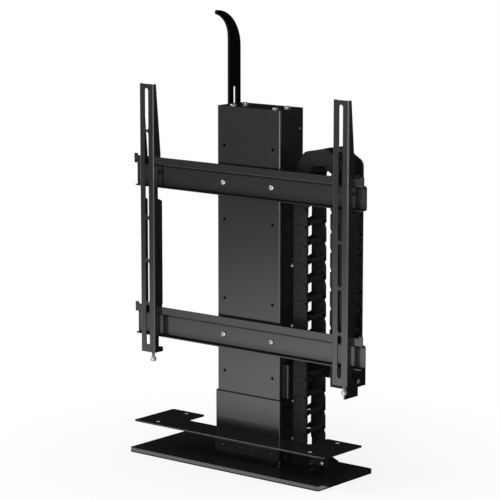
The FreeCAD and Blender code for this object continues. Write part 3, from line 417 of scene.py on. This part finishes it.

# %% [markdown]
# The rails are bent from the same sheet. Their inside corners lie in shade, and that shade is
# painted on. The shade could be painted by hand. Two soft bands, measured up from the rail's foot,
# paint it for both rails: one over the lower flange and one under the lip. The sleeve has a
# slightly rougher coat, which blurs what it mirrors, and a painted shade along its top rim, under
# the edge of the shell.

# %% Painted shade in the rails' corners and on the sleeve's rim
FOOT_BAND, FOOT_SHADE, RAIL_SHEET = 16.5 * MM, 0.5, 2 * MM
LIP_LOW, LIP_NEAR, LIP_EASE, LIP_END, LIP_SHADE = 34.4 * MM, 36.8 * MM, 38.6 * MM, 39 * MM, 0.7
RAILS = ("upper_rail", "lower_rail")
SLEEVE_TOP, SLEEVE_RIM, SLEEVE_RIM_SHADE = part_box("sleeve")[1][2], 1.7 * MM, 0.85
SLEEVE_ROUGH, SLEEVE_GLOSS = 0.06, 0.8


def level_of(tree):
    return along(tree, tree.node("ShaderNodeTexCoord", out="Object"), UP)


def corner_coat(foot):
    def rail_coat(tree):
        made, height = powder_coat(tree), level_of(tree) - foot
        # Painted shade: in two bands, over the foot and under the lip, the paint turns metallic
        # over its black base and mirrors almost nothing.
        shade_over_foot = (1 - height.step(0, FOOT_BAND)) * height.step(0, RAIL_SHEET)
        shade_under_lip = height.step(LIP_LOW, LIP_NEAR) * (1 - height.step(LIP_EASE, LIP_END))
        made["Metallic"] = shade_over_foot * FOOT_SHADE + shade_under_lip * LIP_SHADE
        return made
    return rail_coat


def rubbed_rim(tree):
    made, rim = powder_coat(tree), SLEEVE_TOP - SLEEVE_RIM
    # Painted shade: the top rim under the shell turns metallic over its black base, which makes it
    # nearly black.
    made["Metallic"] = level_of(tree).step(rim, rim + SLEEVE_RIM / 2) * SLEEVE_RIM_SHADE
    made["Roughness"] = made["Roughness"] + SLEEVE_ROUGH
    made["Specular IOR Level"] = SLEEVE_GLOSS
    return made


for name in RAILS:
    FINISH[name] = finish(name + "_powder_coat", corner_coat(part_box(name)[0][2]))
FINISH["sleeve"] = finish("sleeve_powder_coat", rubbed_rim)
print("made", [FINISH[name].name for name in (*RAILS, "sleeve")])

# %% [markdown]
# Screws, bolts and the round fitting are zinc plated: bright, slightly blue, with fine marks from
# tumbling in the plating drum. The mechanism inside is plain oiled steel, darker and drawn along
# its length.

# %% Zinc plate and plain steel
def zinc_plate(tree):
    marks = noise(tree, 0.5 * MM, detail=3.0)
    haze = noise(tree, 5 * MM)
    return {
        "Base Color": haze.tint((0.46, 0.47, 0.49), (0.58, 0.58, 0.57)),
        "Metallic": 1.0,
        "Roughness": 0.28 + haze * 0.12 + marks * 0.08,
        "Normal": relief(tree, marks, 0.02 * MM, 0.25),
    }


def drawn_steel(tree):
    lines = noise(tree, 1.5 * MM, detail=3.0, stretch=(1, 1, 0.04))
    haze = noise(tree, 25 * MM)
    return {
        "Base Color": haze.tint((0.34, 0.34, 0.35), (0.46, 0.46, 0.45)),
        "Metallic": 1.0,
        "Roughness": 0.32 + lines * 0.16,
        "Normal": relief(tree, lines, 0.03 * MM, 0.3),
    }


FINISH["zinc_steel"] = finish("zinc_plate", zinc_plate)
FINISH["raw_steel"] = finish("drawn_steel", drawn_steel)
print("made", [FINISH[slot].name for slot in ("zinc_steel", "raw_steel")])

# %% [markdown]
# The cable chain is moulded nylon, dull and slightly grained from the mould. The control box has
# the rougher spark texture of a housing. The glide pads and rollers are acetal, off-white and
# waxy, and the lifting strap is black webbing whose threads cross at right angles.

# %% Plastics and webbing
def moulded_nylon(tree):
    grain = noise(tree, 0.7 * MM, detail=2.0)
    flow = noise(tree, 18 * MM)
    return {
        "Base Color": flow.tint(grey(0.008), grey(0.014)),
        "Roughness": 0.40 + flow * 0.10 + grain * 0.08,
        "Specular IOR Level": 0.2,
        "Normal": relief(tree, grain, 0.05 * MM, 0.35),
    }


def housing_plastic(tree):
    spark = noise(tree, 0.9 * MM, detail=4.0)
    flow = noise(tree, 30 * MM)
    return {
        "Base Color": flow.tint(grey(0.003), grey(0.006)),
        "Roughness": 0.46 + spark * 0.16,
        "Specular IOR Level": 0.08,
        "Normal": relief(tree, spark, 0.12 * MM, 0.5),
    }


def acetal(tree):
    wax = noise(tree, 12 * MM)
    scuff = noise(tree, 1.2 * MM, stretch=(1, 1, 0.1))
    return {
        "Base Color": wax.tint((0.56, 0.55, 0.51), (0.66, 0.65, 0.61)),
        "Roughness": 0.34 + scuff * 0.14,
        "Normal": relief(tree, scuff, 0.03 * MM, 0.2),
    }


THREADS, WAVER = 300.0, 0.4


def webbing(tree):
    def threads(direction):
        return tree.node("ShaderNodeTexWave", {"bands_direction": direction},
                         {"Vector": tree.node("ShaderNodeTexCoord", out="Object"),
                          "Scale": THREADS, "Distortion": WAVER}, out="Fac")
    weave = threads("X") * 0.5 + threads("Z") * 0.5
    return {
        "Base Color": weave.tint((0.02, 0.02, 0.021), (0.06, 0.06, 0.062)),
        "Roughness": 0.7 + weave * 0.15,
        "Normal": relief(tree, weave, 0.3 * MM, 0.6),
    }


for slot, recipe in (("chain_plastic", moulded_nylon), ("control_plastic", housing_plastic),
                     ("glide_plastic", acetal), ("strap_web", webbing)):
    FINISH[slot] = finish(recipe.__name__, recipe)
print("finishes:", sorted(FINISH))

# %% [markdown]
# ## Dressing the CAD nodes
# A bent and painted sheet has no knife edges: the paint rounds each one by a few tenths of a
# millimetre, and that is where the light catches. Sharp CAD edges could be rebuilt by hand. A
# short stack of modifiers is safer, because the mesh below stays as the CAD made it: joined
# points, one face per flat, a fine bevel, and normals that keep the flats flat.

# %% Finishes and eased edges on the nodes
EDGE, FLAT, CREASE, JOIN = 0.45 * MM, math.radians(0.6), math.radians(34), 0.001 * MM
SLOT_OF = {name: node.data.materials[0].name for name, node in frame["nodes"].items()}
OWN_COAT = {"wing_plate": "tapped", "sleeve": "sleeve", **{name: name for name in RAILS}}


def ease_edges(part, width):
    """Round a part's edges with modifiers, and leave its mesh as it is."""
    weld = part.modifiers.new("join_points", "WELD")
    weld.merge_threshold = JOIN
    flats = part.modifiers.new("one_face_per_flat", "DECIMATE")
    flats.decimate_type, flats.angle_limit = "DISSOLVE", FLAT
    bevel = part.modifiers.new("eased_edge", "BEVEL")
    bevel.width, bevel.segments, bevel.limit_method = width, 2, "ANGLE"
    bevel.angle_limit, bevel.use_clamp_overlap = CREASE, True
    normals = part.modifiers.new("flat_normals", "WEIGHTED_NORMAL")
    normals.keep_sharp = False


for name, node in frame["nodes"].items():
    node.data.materials.clear()
    node.data.materials.append(FINISH[OWN_COAT.get(name, SLOT_OF[name])])
    ease_edges(node, EDGE)
print("dressed", len(frame["nodes"]), "nodes")

# %% [markdown]
# ## Turned pieces
# CAD drew each screw as a plain head on a plain shank, at its right place and size. The eye knows
# a real screw by its domed head, its hexagon socket and its thread, so every fastener is turned
# again here. The places are read from the CAD solids, so a screw can't wander from its hole.

# %% Reading the screws out of a CAD node
SAME_POINT, OUTER_SHARE, LEAST_TILT = 0.002 * MM, 0.93, 0.2 * MM


def solids_of(name):
    """The separate solids of a node, each as a list of its points, in a fixed order."""
    work = bmesh.new()
    work.from_mesh(frame["nodes"][name].data)
    bmesh.ops.remove_doubles(work, verts=work.verts, dist=SAME_POINT)
    waiting, found = set(work.verts), []
    while waiting:
        edge_of_patch, patch = [waiting.pop()], []
        while edge_of_patch:
            here = edge_of_patch.pop()
            patch.append(here.co.copy())
            for beside in (edge.other_vert(here) for edge in here.link_edges):
                if beside in waiting:
                    waiting.remove(beside)
                    edge_of_patch.append(beside)
        found.append(patch)
    work.free()
    return sorted(found, key=lambda patch: [round(min(p[i] for p in patch), 5) for i in range(3)])


def screws_in(name, axis):
    """Each screw as its head's top, the way it faces, head radius, head height and length."""
    across = [i for i in range(3) if i != axis]
    for patch in solids_of(name):
        low, high = ([end(p[i] for p in patch) for i in range(3)] for end in (min, max))
        middle = Vector([(a + b) / 2 for a, b in zip(low, high)])
        reach = [math.hypot(*(p[i] - middle[i] for i in across)) for p in patch]
        radius = max(reach)
        rim = [p[axis] for p, far in zip(patch, reach) if far > OUTER_SHARE * radius]
        tilt = (max(rim) + min(rim)) / 2 - middle[axis]
        way = math.copysign(1, tilt if abs(tilt) > LEAST_TILT else middle[axis])
        facing = Vector([way if i == axis else 0 for i in range(3)])
        top = middle.copy()
        top[axis] = high[axis] if way > 0 else low[axis]
        yield top, facing, radius, max(rim) - min(rim), high[axis] - low[axis]


print("cap screws at", [[round(c / MM, 1) for c in s[0]] for s in screws_in("cap_screws", 2)])

# %% [markdown]
# A lathe works along an axis, so each turned shape is a stack of rings. A ring may be round, six
# sided or toothed: only its radius changes with the angle. Skinning the stack gives the solid, and
# the hexagon socket is simply a few rings that turn back down into the head.

# %% Rings, a skin and a finished piece
TURN, HEXAGON = 48, 6
SHARP = math.radians(32)


def ring(radius, height, sides=0, wave=None):
    """A ring round Z; with sides, radius is measured to the flats; wave adds to it by angle."""
    made = []
    for i in range(TURN):
        angle = 2 * math.pi * i / TURN
        part = 2 * math.pi / sides if sides else 1
        reach = radius / math.cos(angle % part - part / 2) if sides else radius
        reach += wave(angle, height) if wave else 0
        made.append(Vector((reach * math.cos(angle), reach * math.sin(angle), height)))
    return made


def loft(work, rings, place):
    """Skin a row of rings, close both ends and set the solid in its place."""
    rows = [[work.verts.new(place @ point) for point in points] for points in rings]
    for low, high in zip(rows, rows[1:]):
        for i in range(len(low)):
            j = (i + 1) % len(low)
            work.faces.new((low[i], low[j], high[j], high[i]))
    work.faces.new(reversed(rows[0]))
    work.faces.new(rows[-1])


def standing(top, facing):
    """The place of a turned part whose Z looks along `facing`."""
    return Matrix.Translation(top) @ facing.to_track_quat("Z", "Y").to_matrix().to_4x4()


def piece(name, work, slot, body, *nodes, coat=None):
    """Turn mesh work into a smooth-shaded piece that rides on a body and stands for CAD nodes."""
    bmesh.ops.recalc_face_normals(work, faces=work.faces)
    mesh = bpy.data.meshes.new(name)
    work.to_mesh(mesh)
    work.free()
    mesh.shade_smooth()
    mesh.set_sharp_from_angle(angle=SHARP)
    mesh.materials.append(FINISH[coat or slot])
    made = bpy.data.objects.new(name, mesh)
    bpy.context.scene.collection.objects.link(made)
    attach(made, body)
    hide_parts(*nodes)
    print(name, "on", body, len(mesh.polygons), "faces")
    return made


def body_of(name):
    return frame["nodes"][name]["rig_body"]


corner_reach = max(point.length for point in ring(1, 0, HEXAGON))
print("a hexagon 2 wide over its flats reaches", round(corner_reach, 3), "at its corners")

# %% [markdown]
# Most of the lift is held by socket button screws: a low dome with a hexagon socket. The dome is a
# quarter ellipse, as the standard draws it, and the shank below stays plain where nobody sees it.
# The screws of the wing plate were painted over with it, so they take its coat and its painted
# light.

# %% Button screws
SOCKET_SHARE, SOCKET_DEEP, SHANK_SHARE, CROWN = 0.36, 0.6, 0.6, 0.85
LIP_SHARE, SOCKET_EDGE, SOCKET_BREAK = 1.35, 1.04, 0.06
DRILL_SHARE, DRILL_DEEP, DOME = 0.1, 0.8, (0, 20, 40, 60, 75, 90)


def button(work, top, facing, radius, height, length):
    flat, shank = SOCKET_SHARE * radius, SHANK_SHARE * radius
    lip = LIP_SHARE * flat
    rings = [ring(shank, -length), ring(shank, -height), ring(radius, -height)]
    for turn in map(math.radians, DOME):
        rings.append(ring(lip + (radius - lip) * math.cos(turn),
                          CROWN * height * (math.sin(turn) - 1)))
    rings += [ring(SOCKET_EDGE * flat, 0, HEXAGON), ring(flat, -SOCKET_BREAK * height, HEXAGON),
              ring(flat, -SOCKET_DEEP * height, HEXAGON),
              ring(DRILL_SHARE * flat, -DRILL_DEEP * height)]
    loft(work, rings, standing(top, facing))


BUTTONS = {"cap_screws": 2, "rail_bolts": 1, "shell_screws": 0, "sleeve_screws": 0,
           "bracket_screws": 0, "wing_screws": 1, "chain_foot_bolts": 2, "foot_bolts": 2}
PAINTED_OVER = {"wing_screws": "tapped"}

for name, axis in BUTTONS.items():
    work = bmesh.new()
    for screw in screws_in(name, axis):
        button(work, *screw)
    piece(name + "_turned", work, SLOT_OF[name], body_of(name), name, coat=PAINTED_OVER.get(name))

# %% [markdown]
# The lever is clamped by two hexagon bolts on broad washers, so that it can be slid and fixed
# again. A bolt's head has six flats and a chamfer turned on its corners. The shell's seam is closed
# by small domed rivets.

# %% Lever bolts and seam rivets
WASHER, HEAD_HIGH, HEAD_FLATS, CHAMFER = 1.5 * MM, 4.5 * MM, 5.3 * MM, 0.5 * MM
HEAD_TOP = ((0.95, -0.1 * MM), (0.9, 0), (0.4, -0.15 * MM))  # share of the flats, and height
BOLT_SHANK = 0.6 * HEAD_FLATS
BORE, BROKEN_EDGE, UNDER_HEAD = 1.1 * BOLT_SHANK, 0.3 * MM, -HEAD_HIGH - 0.01 * MM
RIVET_HIGH, RIVET_SHANK, RIVET_DOME = 0.9 * MM, 0.8, (0, 25, 50, 70, 83)

work = bmesh.new()
for top, facing, radius, height, length in screws_in("lever_bolts", 0):
    place, seat = standing(top, facing), -HEAD_HIGH - WASHER
    bolt = [ring(BOLT_SHANK, -length), ring(BOLT_SHANK, -HEAD_HIGH),
            ring(HEAD_FLATS, -HEAD_HIGH, HEXAGON), ring(HEAD_FLATS, -CHAMFER, HEXAGON),
            *(ring(share * HEAD_FLATS, level) for share, level in HEAD_TOP)]
    washer = [ring(BORE, seat), ring(radius, seat), ring(radius, seat + 0.8 * WASHER),
              ring(radius - BROKEN_EDGE, UNDER_HEAD), ring(BORE, UNDER_HEAD)]
    loft(work, bolt, place)
    loft(work, washer, place)
piece("lever_bolts_turned", work, "zinc_steel", body_of("lever_bolts"), "lever_bolts")

work = bmesh.new()
for top, facing, radius, height, length in screws_in("seam_rivets", 0):
    shank = RIVET_SHANK * radius
    dome = [ring(radius * math.cos(turn), RIVET_HIGH * (math.sin(turn) - 1))
            for turn in map(math.radians, RIVET_DOME)]
    loft(work, [ring(shank, -length), ring(shank, -RIVET_HIGH), *dome], standing(top, facing))
piece("seam_rivets_turned", work, "zinc_steel", body_of("seam_rivets"), "seam_rivets")

# %% [markdown]
# A security screw stands up into the foot of each arm. It is turned by hand, so its head is
# knurled, and its thread is a true helix: the crest walks once round the shank for each pitch.

# %% Security screws
PITCH, CREST, STEPS, TEETH, KNURL = 1.25 * MM, 0.55 * MM, 6, 24, 0.22 * MM
KNOB_R, KNOB_HIGH, SCREW_R = 5 * MM, 7 * MM, 2.95 * MM
RUN_IN, RUN_OUT, TIP_SHARE = 0.5 * MM, 1.5 * MM, 0.7


def thread(angle, height):
    """How far the surface lies under the crest: a saw that climbs with the angle."""
    return -CREST * abs(2 * ((height / PITCH - angle / (2 * math.pi)) % 1) - 1)


def teeth(angle, height):
    return -KNURL * (1 + math.cos(TEETH * angle)) / 2


# Each ring of the knob: share of its radius, height, and what shapes its rim.
KNOB = ((0.5, 0.3 * MM, None), (0.62, 0, None), (0.86, 0, None), (1, 0.7 * MM, teeth),
        (1, 5.6 * MM, teeth), (0.86, 6.3 * MM, None), (0.86, KNOB_HIGH, None))

for side in ("left", "right"):
    name = "lock_screw_" + side
    low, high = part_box(name)
    foot = Vector(((low[0] + high[0]) / 2, (low[1] + high[1]) / 2, low[2]))
    tip = high[2] - low[2]
    knob = [ring(share * KNOB_R, level, 0, wave) for share, level, wave in KNOB]
    turns = int((tip - KNOB_HIGH - RUN_OUT) / (PITCH / STEPS))
    screw = [ring(SCREW_R, KNOB_HIGH + RUN_IN + i * PITCH / STEPS, 0, thread) for i in range(turns)]
    work = bmesh.new()
    loft(work, [*knob, ring(SCREW_R, KNOB_HIGH), *screw, ring(TIP_SHARE * SCREW_R, tip)],
         Matrix.Translation(foot))
    piece(name + "_turned", work, "zinc_steel", body_of(name), name)

# %% [markdown]
# The handset's cable plugs into a round socket on the control box: a black collar with a plated
# sleeve inside. Both are turned, one in the other, so that the collar hides the seat of the sleeve.

# %% Handset socket
BARREL, SEAT, LIP = 3.6 * MM, 5 * MM, 2.95 * MM

for top, facing, radius, height, length in screws_in("control_socket", 1):
    # Each profile lists a radius and a height for every ring.
    collar = ((BARREL, -length), (BARREL, -SEAT), (radius, -SEAT), (radius, -0.6 * SEAT),
              (0.93 * radius, -0.5 * SEAT), (BARREL, -0.5 * SEAT), (BARREL, -0.4 * MM),
              (0.94 * BARREL, 0), (LIP, 0), (LIP, -0.8 * SEAT))
    sleeve = ((LIP, -0.8 * SEAT), (LIP, -0.3 * MM), (0.95 * LIP, -0.1 * MM),
              (0.8 * LIP, -0.1 * MM), (0.75 * LIP, -0.3 * MM), (0.75 * LIP, -0.7 * SEAT))
    for name, profile, coat in (("socket_collar_turned", collar, "control_plastic"),
                                ("socket_sleeve_turned", sleeve, "zinc_steel")):
        work = bmesh.new()
        loft(work, [ring(*corner) for corner in profile], standing(top, facing))
        piece(name, work, SLOT_OF["control_socket"], body_of("control_socket"),
              "control_socket", coat=coat)

# %% [markdown]
# Inside the column two straps hang from pulleys and pull the shell up twice as fast as the middle
# tube. While the lift rises, each outer run rolls over its pulley and grows shorter. A woven band
# has rounded selvedges and a ribbed face, so the runs are swept again from such a section.

# %% Strap runs
STAGE_RISE, RIB_STEP, RIB, BAND_POINTS = 288 * MM, 6 * MM, 0.94, 12


def band_section(patch):
    """A band's middle across its thickness, and its outline with round selvedges."""
    (x0, x1), (y0, y1) = ((min(p[i] for p in patch), max(p[i] for p in patch)) for i in range(2))
    half, outline = (x1 - x0) / 2, []
    for i in range(BAND_POINTS):
        turn = 2 * math.pi * (i + 0.5) / BAND_POINTS
        edge = (y1 if turn < math.pi else y0) - math.copysign(half, math.sin(turn))
        outline.append((half * math.cos(turn), edge + half * math.sin(turn)))
    return (x0 + x1) / 2, outline


low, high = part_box("strap_outer_runs")
length = high[2] - low[2]
ribs = round(length / RIB_STEP)
work = bmesh.new()
for patch in solids_of("strap_outer_runs"):
    middle, outline = band_section(patch)
    rows = [[Vector((middle + x * (RIB if i % 2 else 1), y, low[2] + length * i / ribs))
             for x, y in outline] for i in range(ribs + 1)]
    loft(work, rows, Matrix())
runs = piece("strap_outer_runs_woven", work, SLOT_OF["strap_outer_runs"], "carriage",
             "strap_outer_runs")
(length - STAGE_RISE) / length
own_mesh(runs)
print("a run keeps", round((length - STAGE_RISE) / length, 3), "of its length")

# %% [markdown]
# ## The screen arms
# Each arm is a channel pressed from sheet, with notches where it hooks over the rails. Between the
# rails the press leaves its left flange a little narrower than its right one, so light shows
# through the slots from the front right. The arm could be drawn again from nothing. It is quicker,
# and safer, to take a copy of the CAD solid's mesh and draw back the corners of that one flange.

# %% Narrower left flanges
FLANGE, DRAWN_BACK, AT_REAR = 2.3 * MM, 3.7 * MM, 0.1 * MM
BETWEEN_LOW, BETWEEN_HIGH = 250 * MM, 434 * MM

for name in ("arm_left", "arm_right"):
    low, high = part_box(name)
    work = bmesh.new()
    work.from_mesh(frame["nodes"][name].data)
    for corner in work.verts:
        across, back, up = corner.co
        on_flange = across < low[0] + FLANGE and back > high[1] - AT_REAR
        if on_flange and BETWEEN_LOW < up < BETWEEN_HIGH:
            corner.co.y -= DRAWN_BACK
    ease_edges(piece(name + "_pressed", work, SLOT_OF[name], body_of(name), name), EDGE)

# %% [markdown]
# ## The cable chain
# Each link of the chain is moulded in one piece: two cheeks joined by crossbars. A cheek is half
# inner tongue, with a pin, and half outer eye, with a hole, so every link turns on the pin of the
# next one. The plates get a small moulded radius all round, because sharp plastic edges don't leave
# a mould. One link is made as mesh work in its own plane and copied along the chain's path.

# %% A plate with eased rims
LINK_STEP, LINK_R, CLEAR, WIDE, PLATE = 32 * MM, 13.9 * MM, 14.04 * MM, 27.5 * MM, 2.8 * MM
LAYER, PIN, RIM, ROUND, LEAST_MITRE = 0.3 * MM, 3.0 * MM, 0.5 * MM, 24, 0.5


def arc(centre, radius, start, end, count):
    """Points along an arc in a link's plane, angles in degrees."""
    turns = [math.radians(start + (end - start) * i / (count - 1)) for i in range(count)]
    return [Vector((centre + radius * math.cos(t), radius * math.sin(t))) for t in turns]


def circle(centre, radius):
    return arc(centre, radius, 0, 360 - 360 / ROUND, ROUND)


def inset(outline, by):
    """The outline moved into the material, which lies on its left."""
    moved = []
    for i, here in enumerate(outline):
        ahead = (outline[(i + 1) % len(outline)] - here).normalized()
        behind = (here - outline[i - 1]).normalized()
        left = Vector((-behind.y - ahead.y, behind.x + ahead.x)).normalized()
        mitre = max(LEAST_MITRE, left.dot(Vector((-ahead.y, ahead.x))))
        moved.append(here + left * (by / mitre))
    return moved


def plate(work, outlines, low, high, rim=RIM):
    """A plate between two depths; the first outline runs left round, holes run right round."""
    caps = ([], [])
    for outline in outlines:
        small = inset(outline, rim)
        rows = [[work.verts.new((p.x, depth, p.y)) for p in points] for points, depth in
                ((small, low), (outline, low + rim), (outline, high - rim), (small, high))]
        for near, far in zip(rows, rows[1:]):
            for i in range(len(near)):
                work.faces.new((near[i - 1], near[i], far[i], far[i - 1]))
        for cap, row in zip(caps, (rows[0], rows[-1])):
            cap.extend(work.edges.get((row[i - 1], row[i])) for i in range(len(row)))
    for cap in caps:
        bmesh.ops.triangle_fill(work, edges=cap, use_beauty=True)


print("a pin has", len(circle(0, PIN)), "sides")

# %% [markdown]
# The cheek's outer half hugs the round end of the link before it, so the chain looks like a row of
# scales. The chain bends one way only: outside the bend the cheeks meet in a straight line, inside
# it they leave a notch as room to turn. The crossbars snap out to lay cables, so each ends in a
# latch.

# %% One link
EAR_OUTSIDE, EAR_INSIDE, MIDDLE = 76, 37, LINK_STEP / 2
TONGUE = WIDE - 2 * PLATE - LAYER
CORNERS = ((1, 1), (-1, 1), (-1, -1), (1, -1))
BAR_LONG, BAR_THICK, BAR_ROUND, BAR_IN = 8 * MM, 3 * MM, 1.0 * MM, 1 * MM
LATCH_LONG, LATCH_THICK, LATCH_WIDE = 1.3 * BAR_LONG, 0.8 * BAR_THICK, 4 * MM
BRIDGE, BRIDGE_RIM, FINE_RIM, PLAY = 1.1 * MM, 0.2 * MM, 0.3 * MM, 0.1 * MM


def mirrored_outline(outline):
    return [Vector((LINK_STEP - p.x, p.y)) for p in reversed(outline)]


def bar_outline(sign, long=BAR_LONG, thick=BAR_THICK):
    """The section of a crossbar or latch, with rounded corners."""
    centre = Vector((MIDDLE, sign * (LINK_R - thick / 2)))
    made = []
    for i, (u, v) in enumerate(CORNERS):
        heart = centre + Vector((u * (long / 2 - BAR_ROUND), v * (thick / 2 - BAR_ROUND)))
        for degrees in (0, 30, 60, 90):
            turn = math.radians(degrees + 90 * i)
            made.append(heart + BAR_ROUND * Vector((math.cos(turn), math.sin(turn))))
    return made


def span(side, near, far):
    """Two depths on the rear side of the link's plane, or mirrored to its front side."""
    return (near, far) if side > 0 else (-far, -near)


def link_mesh():
    ear = arc(0, CLEAR, EAR_OUTSIDE, -EAR_INSIDE, 15)
    eye = [Vector((ear[0].x, LINK_R)), *ear, Vector((ear[-1].x, -LINK_R))]
    eye += arc(LINK_STEP, LINK_R, -90, 90, 17)
    hole = list(reversed(circle(LINK_STEP, PIN + PLAY)))
    bridge = [Vector((MIDDLE + u * BRIDGE, v * LINK_R)) for u, v in CORNERS]
    work = bmesh.new()
    for side in (-1, 1):
        plate(work, [eye, hole], *span(side, WIDE - PLATE, WIDE))
        plate(work, [mirrored_outline(eye)], *span(side, TONGUE, TONGUE + PLATE))
        plate(work, [bridge], *span(side, TONGUE + RIM, WIDE - RIM), rim=BRIDGE_RIM)
        plate(work, [circle(0, PIN)], *span(side, TONGUE + PLATE / 2, WIDE - PLAY), rim=FINE_RIM)
        for sign in (-1, 1):
            plate(work, [bar_outline(sign, LATCH_LONG, LATCH_THICK)],
                  *span(side, TONGUE - LATCH_WIDE, TONGUE + BAR_IN), rim=FINE_RIM)
    for sign in (-1, 1):
        plate(work, [bar_outline(sign)], -TONGUE - BAR_IN, TONGUE + BAR_IN)
    bmesh.ops.recalc_face_normals(work, faces=work.faces)
    made = bpy.data.meshes.new("chain_link")
    work.to_mesh(made)
    work.free()
    return made


LINK = link_mesh()
print("one link:", len(LINK.polygons), "faces")

# %% [markdown]
# At rest fourteen links stand on the base, three go over the top and ten hang down to the bracket.
# When the lift rises, the loop rolls: links leave the hanging side and join the standing side. A
# rolling chain can't be split into rigid pieces, so it is shown in a plain way. The links that will
# join the standing side wait inside it and rise with the loop.

# %% Links along the path
CHAIN_Y, LEFT_X, LEFT_TOP = 14 * MM, 95 * MM, 498.3 * MM
LOOP, UPWARD, DOWNWARD = (58, 10, -31), 90, -90
STANDING, HANGING, ROLLED, SPARE_SIZE, FOLD_ROOM = 14, 10, 9, 0.985, 3.6 * MM


def links(placed, size=1):
    """Mesh work with one link for each (x, z, degrees), scaled about its middle."""
    middle, back = Matrix.Translation((MIDDLE, 0, 0)), Matrix.Translation((-MIDDLE, 0, 0))
    shrink = middle @ Matrix.Scale(size, 4) @ back
    work = bmesh.new()
    for x, z, degrees in placed:
        turn = Matrix.Rotation(-math.radians(degrees), 4, "Y")
        link = LINK.copy()
        link.transform(Matrix.Translation((x, CHAIN_Y, z)) @ turn @ shrink)
        work.from_mesh(link)
        bpy.data.meshes.remove(link)
    return work


left = [(LEFT_X, LEFT_TOP - LINK_STEP * (k + 1), UPWARD) for k in range(STANDING)]
over, x, z = [], LEFT_X, LEFT_TOP
for degrees in LOOP:
    over.append((x, z, degrees))
    x += LINK_STEP * math.cos(math.radians(degrees))
    z += LINK_STEP * math.sin(math.radians(degrees))
right = [(x, z - LINK_STEP * k, DOWNWARD) for k in range(HANGING)]

piece("chain_standing_links", links(left), "chain_plastic", "base", "chain_fixed_strand")
piece("chain_loop_links", links(over), "chain_plastic", "chain_loop", "chain_loop")
piece("chain_spare_links", links(left[:ROLLED], SPARE_SIZE), "chain_plastic", "chain_loop")
piece("chain_last_link", links(right[ROLLED:]), "chain_plastic", "carriage", "chain_moving_strand")
hanging = piece("chain_hanging_links", links(right[:ROLLED]), "chain_plastic", "carriage",
                "chain_moving_strand")
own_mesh(hanging)
print("loop ends at", round(x / MM, 2), round(z / MM, 2))

# %% [markdown]
# ## The lid lever
# The lever is a flat bar on the column's left side. Its slot lets it be set higher or lower, and
# its end sweeps forward into a blunt finger that pushes the cabinet's lid. It is cut from plate, so
# it needs no modelling by hand: its outline is two arcs and a round end, and the same plate helper
# gives it thickness and eased rims.

# %% Lid lever
BAR_FRONT, BAR_BACK, SLOT_R = 0.9 * MM, 31.4 * MM, 3.6 * MM
OUT_R, OUT_HIGH, IN_R, IN_HIGH = 62 * MM, 700.6 * MM, 39.9 * MM, 716.4 * MM
FINGER_R, FINGER_FRONT, FINGER_HIGH = 3.8 * MM, -28.6 * MM, 758.8 * MM
SLOT_LOW, SLOT_HIGH = 537.6 * MM, 629.4 * MM
OUT_SWEEP, TIP_SWEEP, IN_SWEEP, LEVER_RIM = (0, 88), (100, 265), (74, 0), 0.3 * MM
SWAP_XY = Matrix(((0, 1, 0, 0), (1, 0, 0, 0), (0, 0, 1, 0), (0, 0, 0, 1)))


def bend(across, high, radius, start, end, count=15):
    """An arc about a centre at the given height, angles in degrees."""
    return [point + Vector((0, high)) for point in arc(across, radius, start, end, count)]


low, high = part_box("lid_lever")
middle = (BAR_FRONT + BAR_BACK) / 2
bar = [Vector((BAR_FRONT, low[2])), Vector((BAR_BACK, low[2])),
       *bend(BAR_BACK - OUT_R, OUT_HIGH, OUT_R, *OUT_SWEEP),
       *bend(FINGER_FRONT, FINGER_HIGH, FINGER_R, *TIP_SWEEP),
       *bend(BAR_FRONT - IN_R, IN_HIGH, IN_R, *IN_SWEEP)]
slot = bend(middle, SLOT_HIGH, SLOT_R, 180, 0) + bend(middle, SLOT_LOW, SLOT_R, 0, -180)
work = bmesh.new()
plate(work, [bar, slot], low[0], high[0], rim=LEVER_RIM)
work.transform(SWAP_XY)
piece("lid_lever_bar", work, SLOT_OF["lid_lever"], body_of("lid_lever"), "lid_lever", coat="lever")

# %% [markdown]
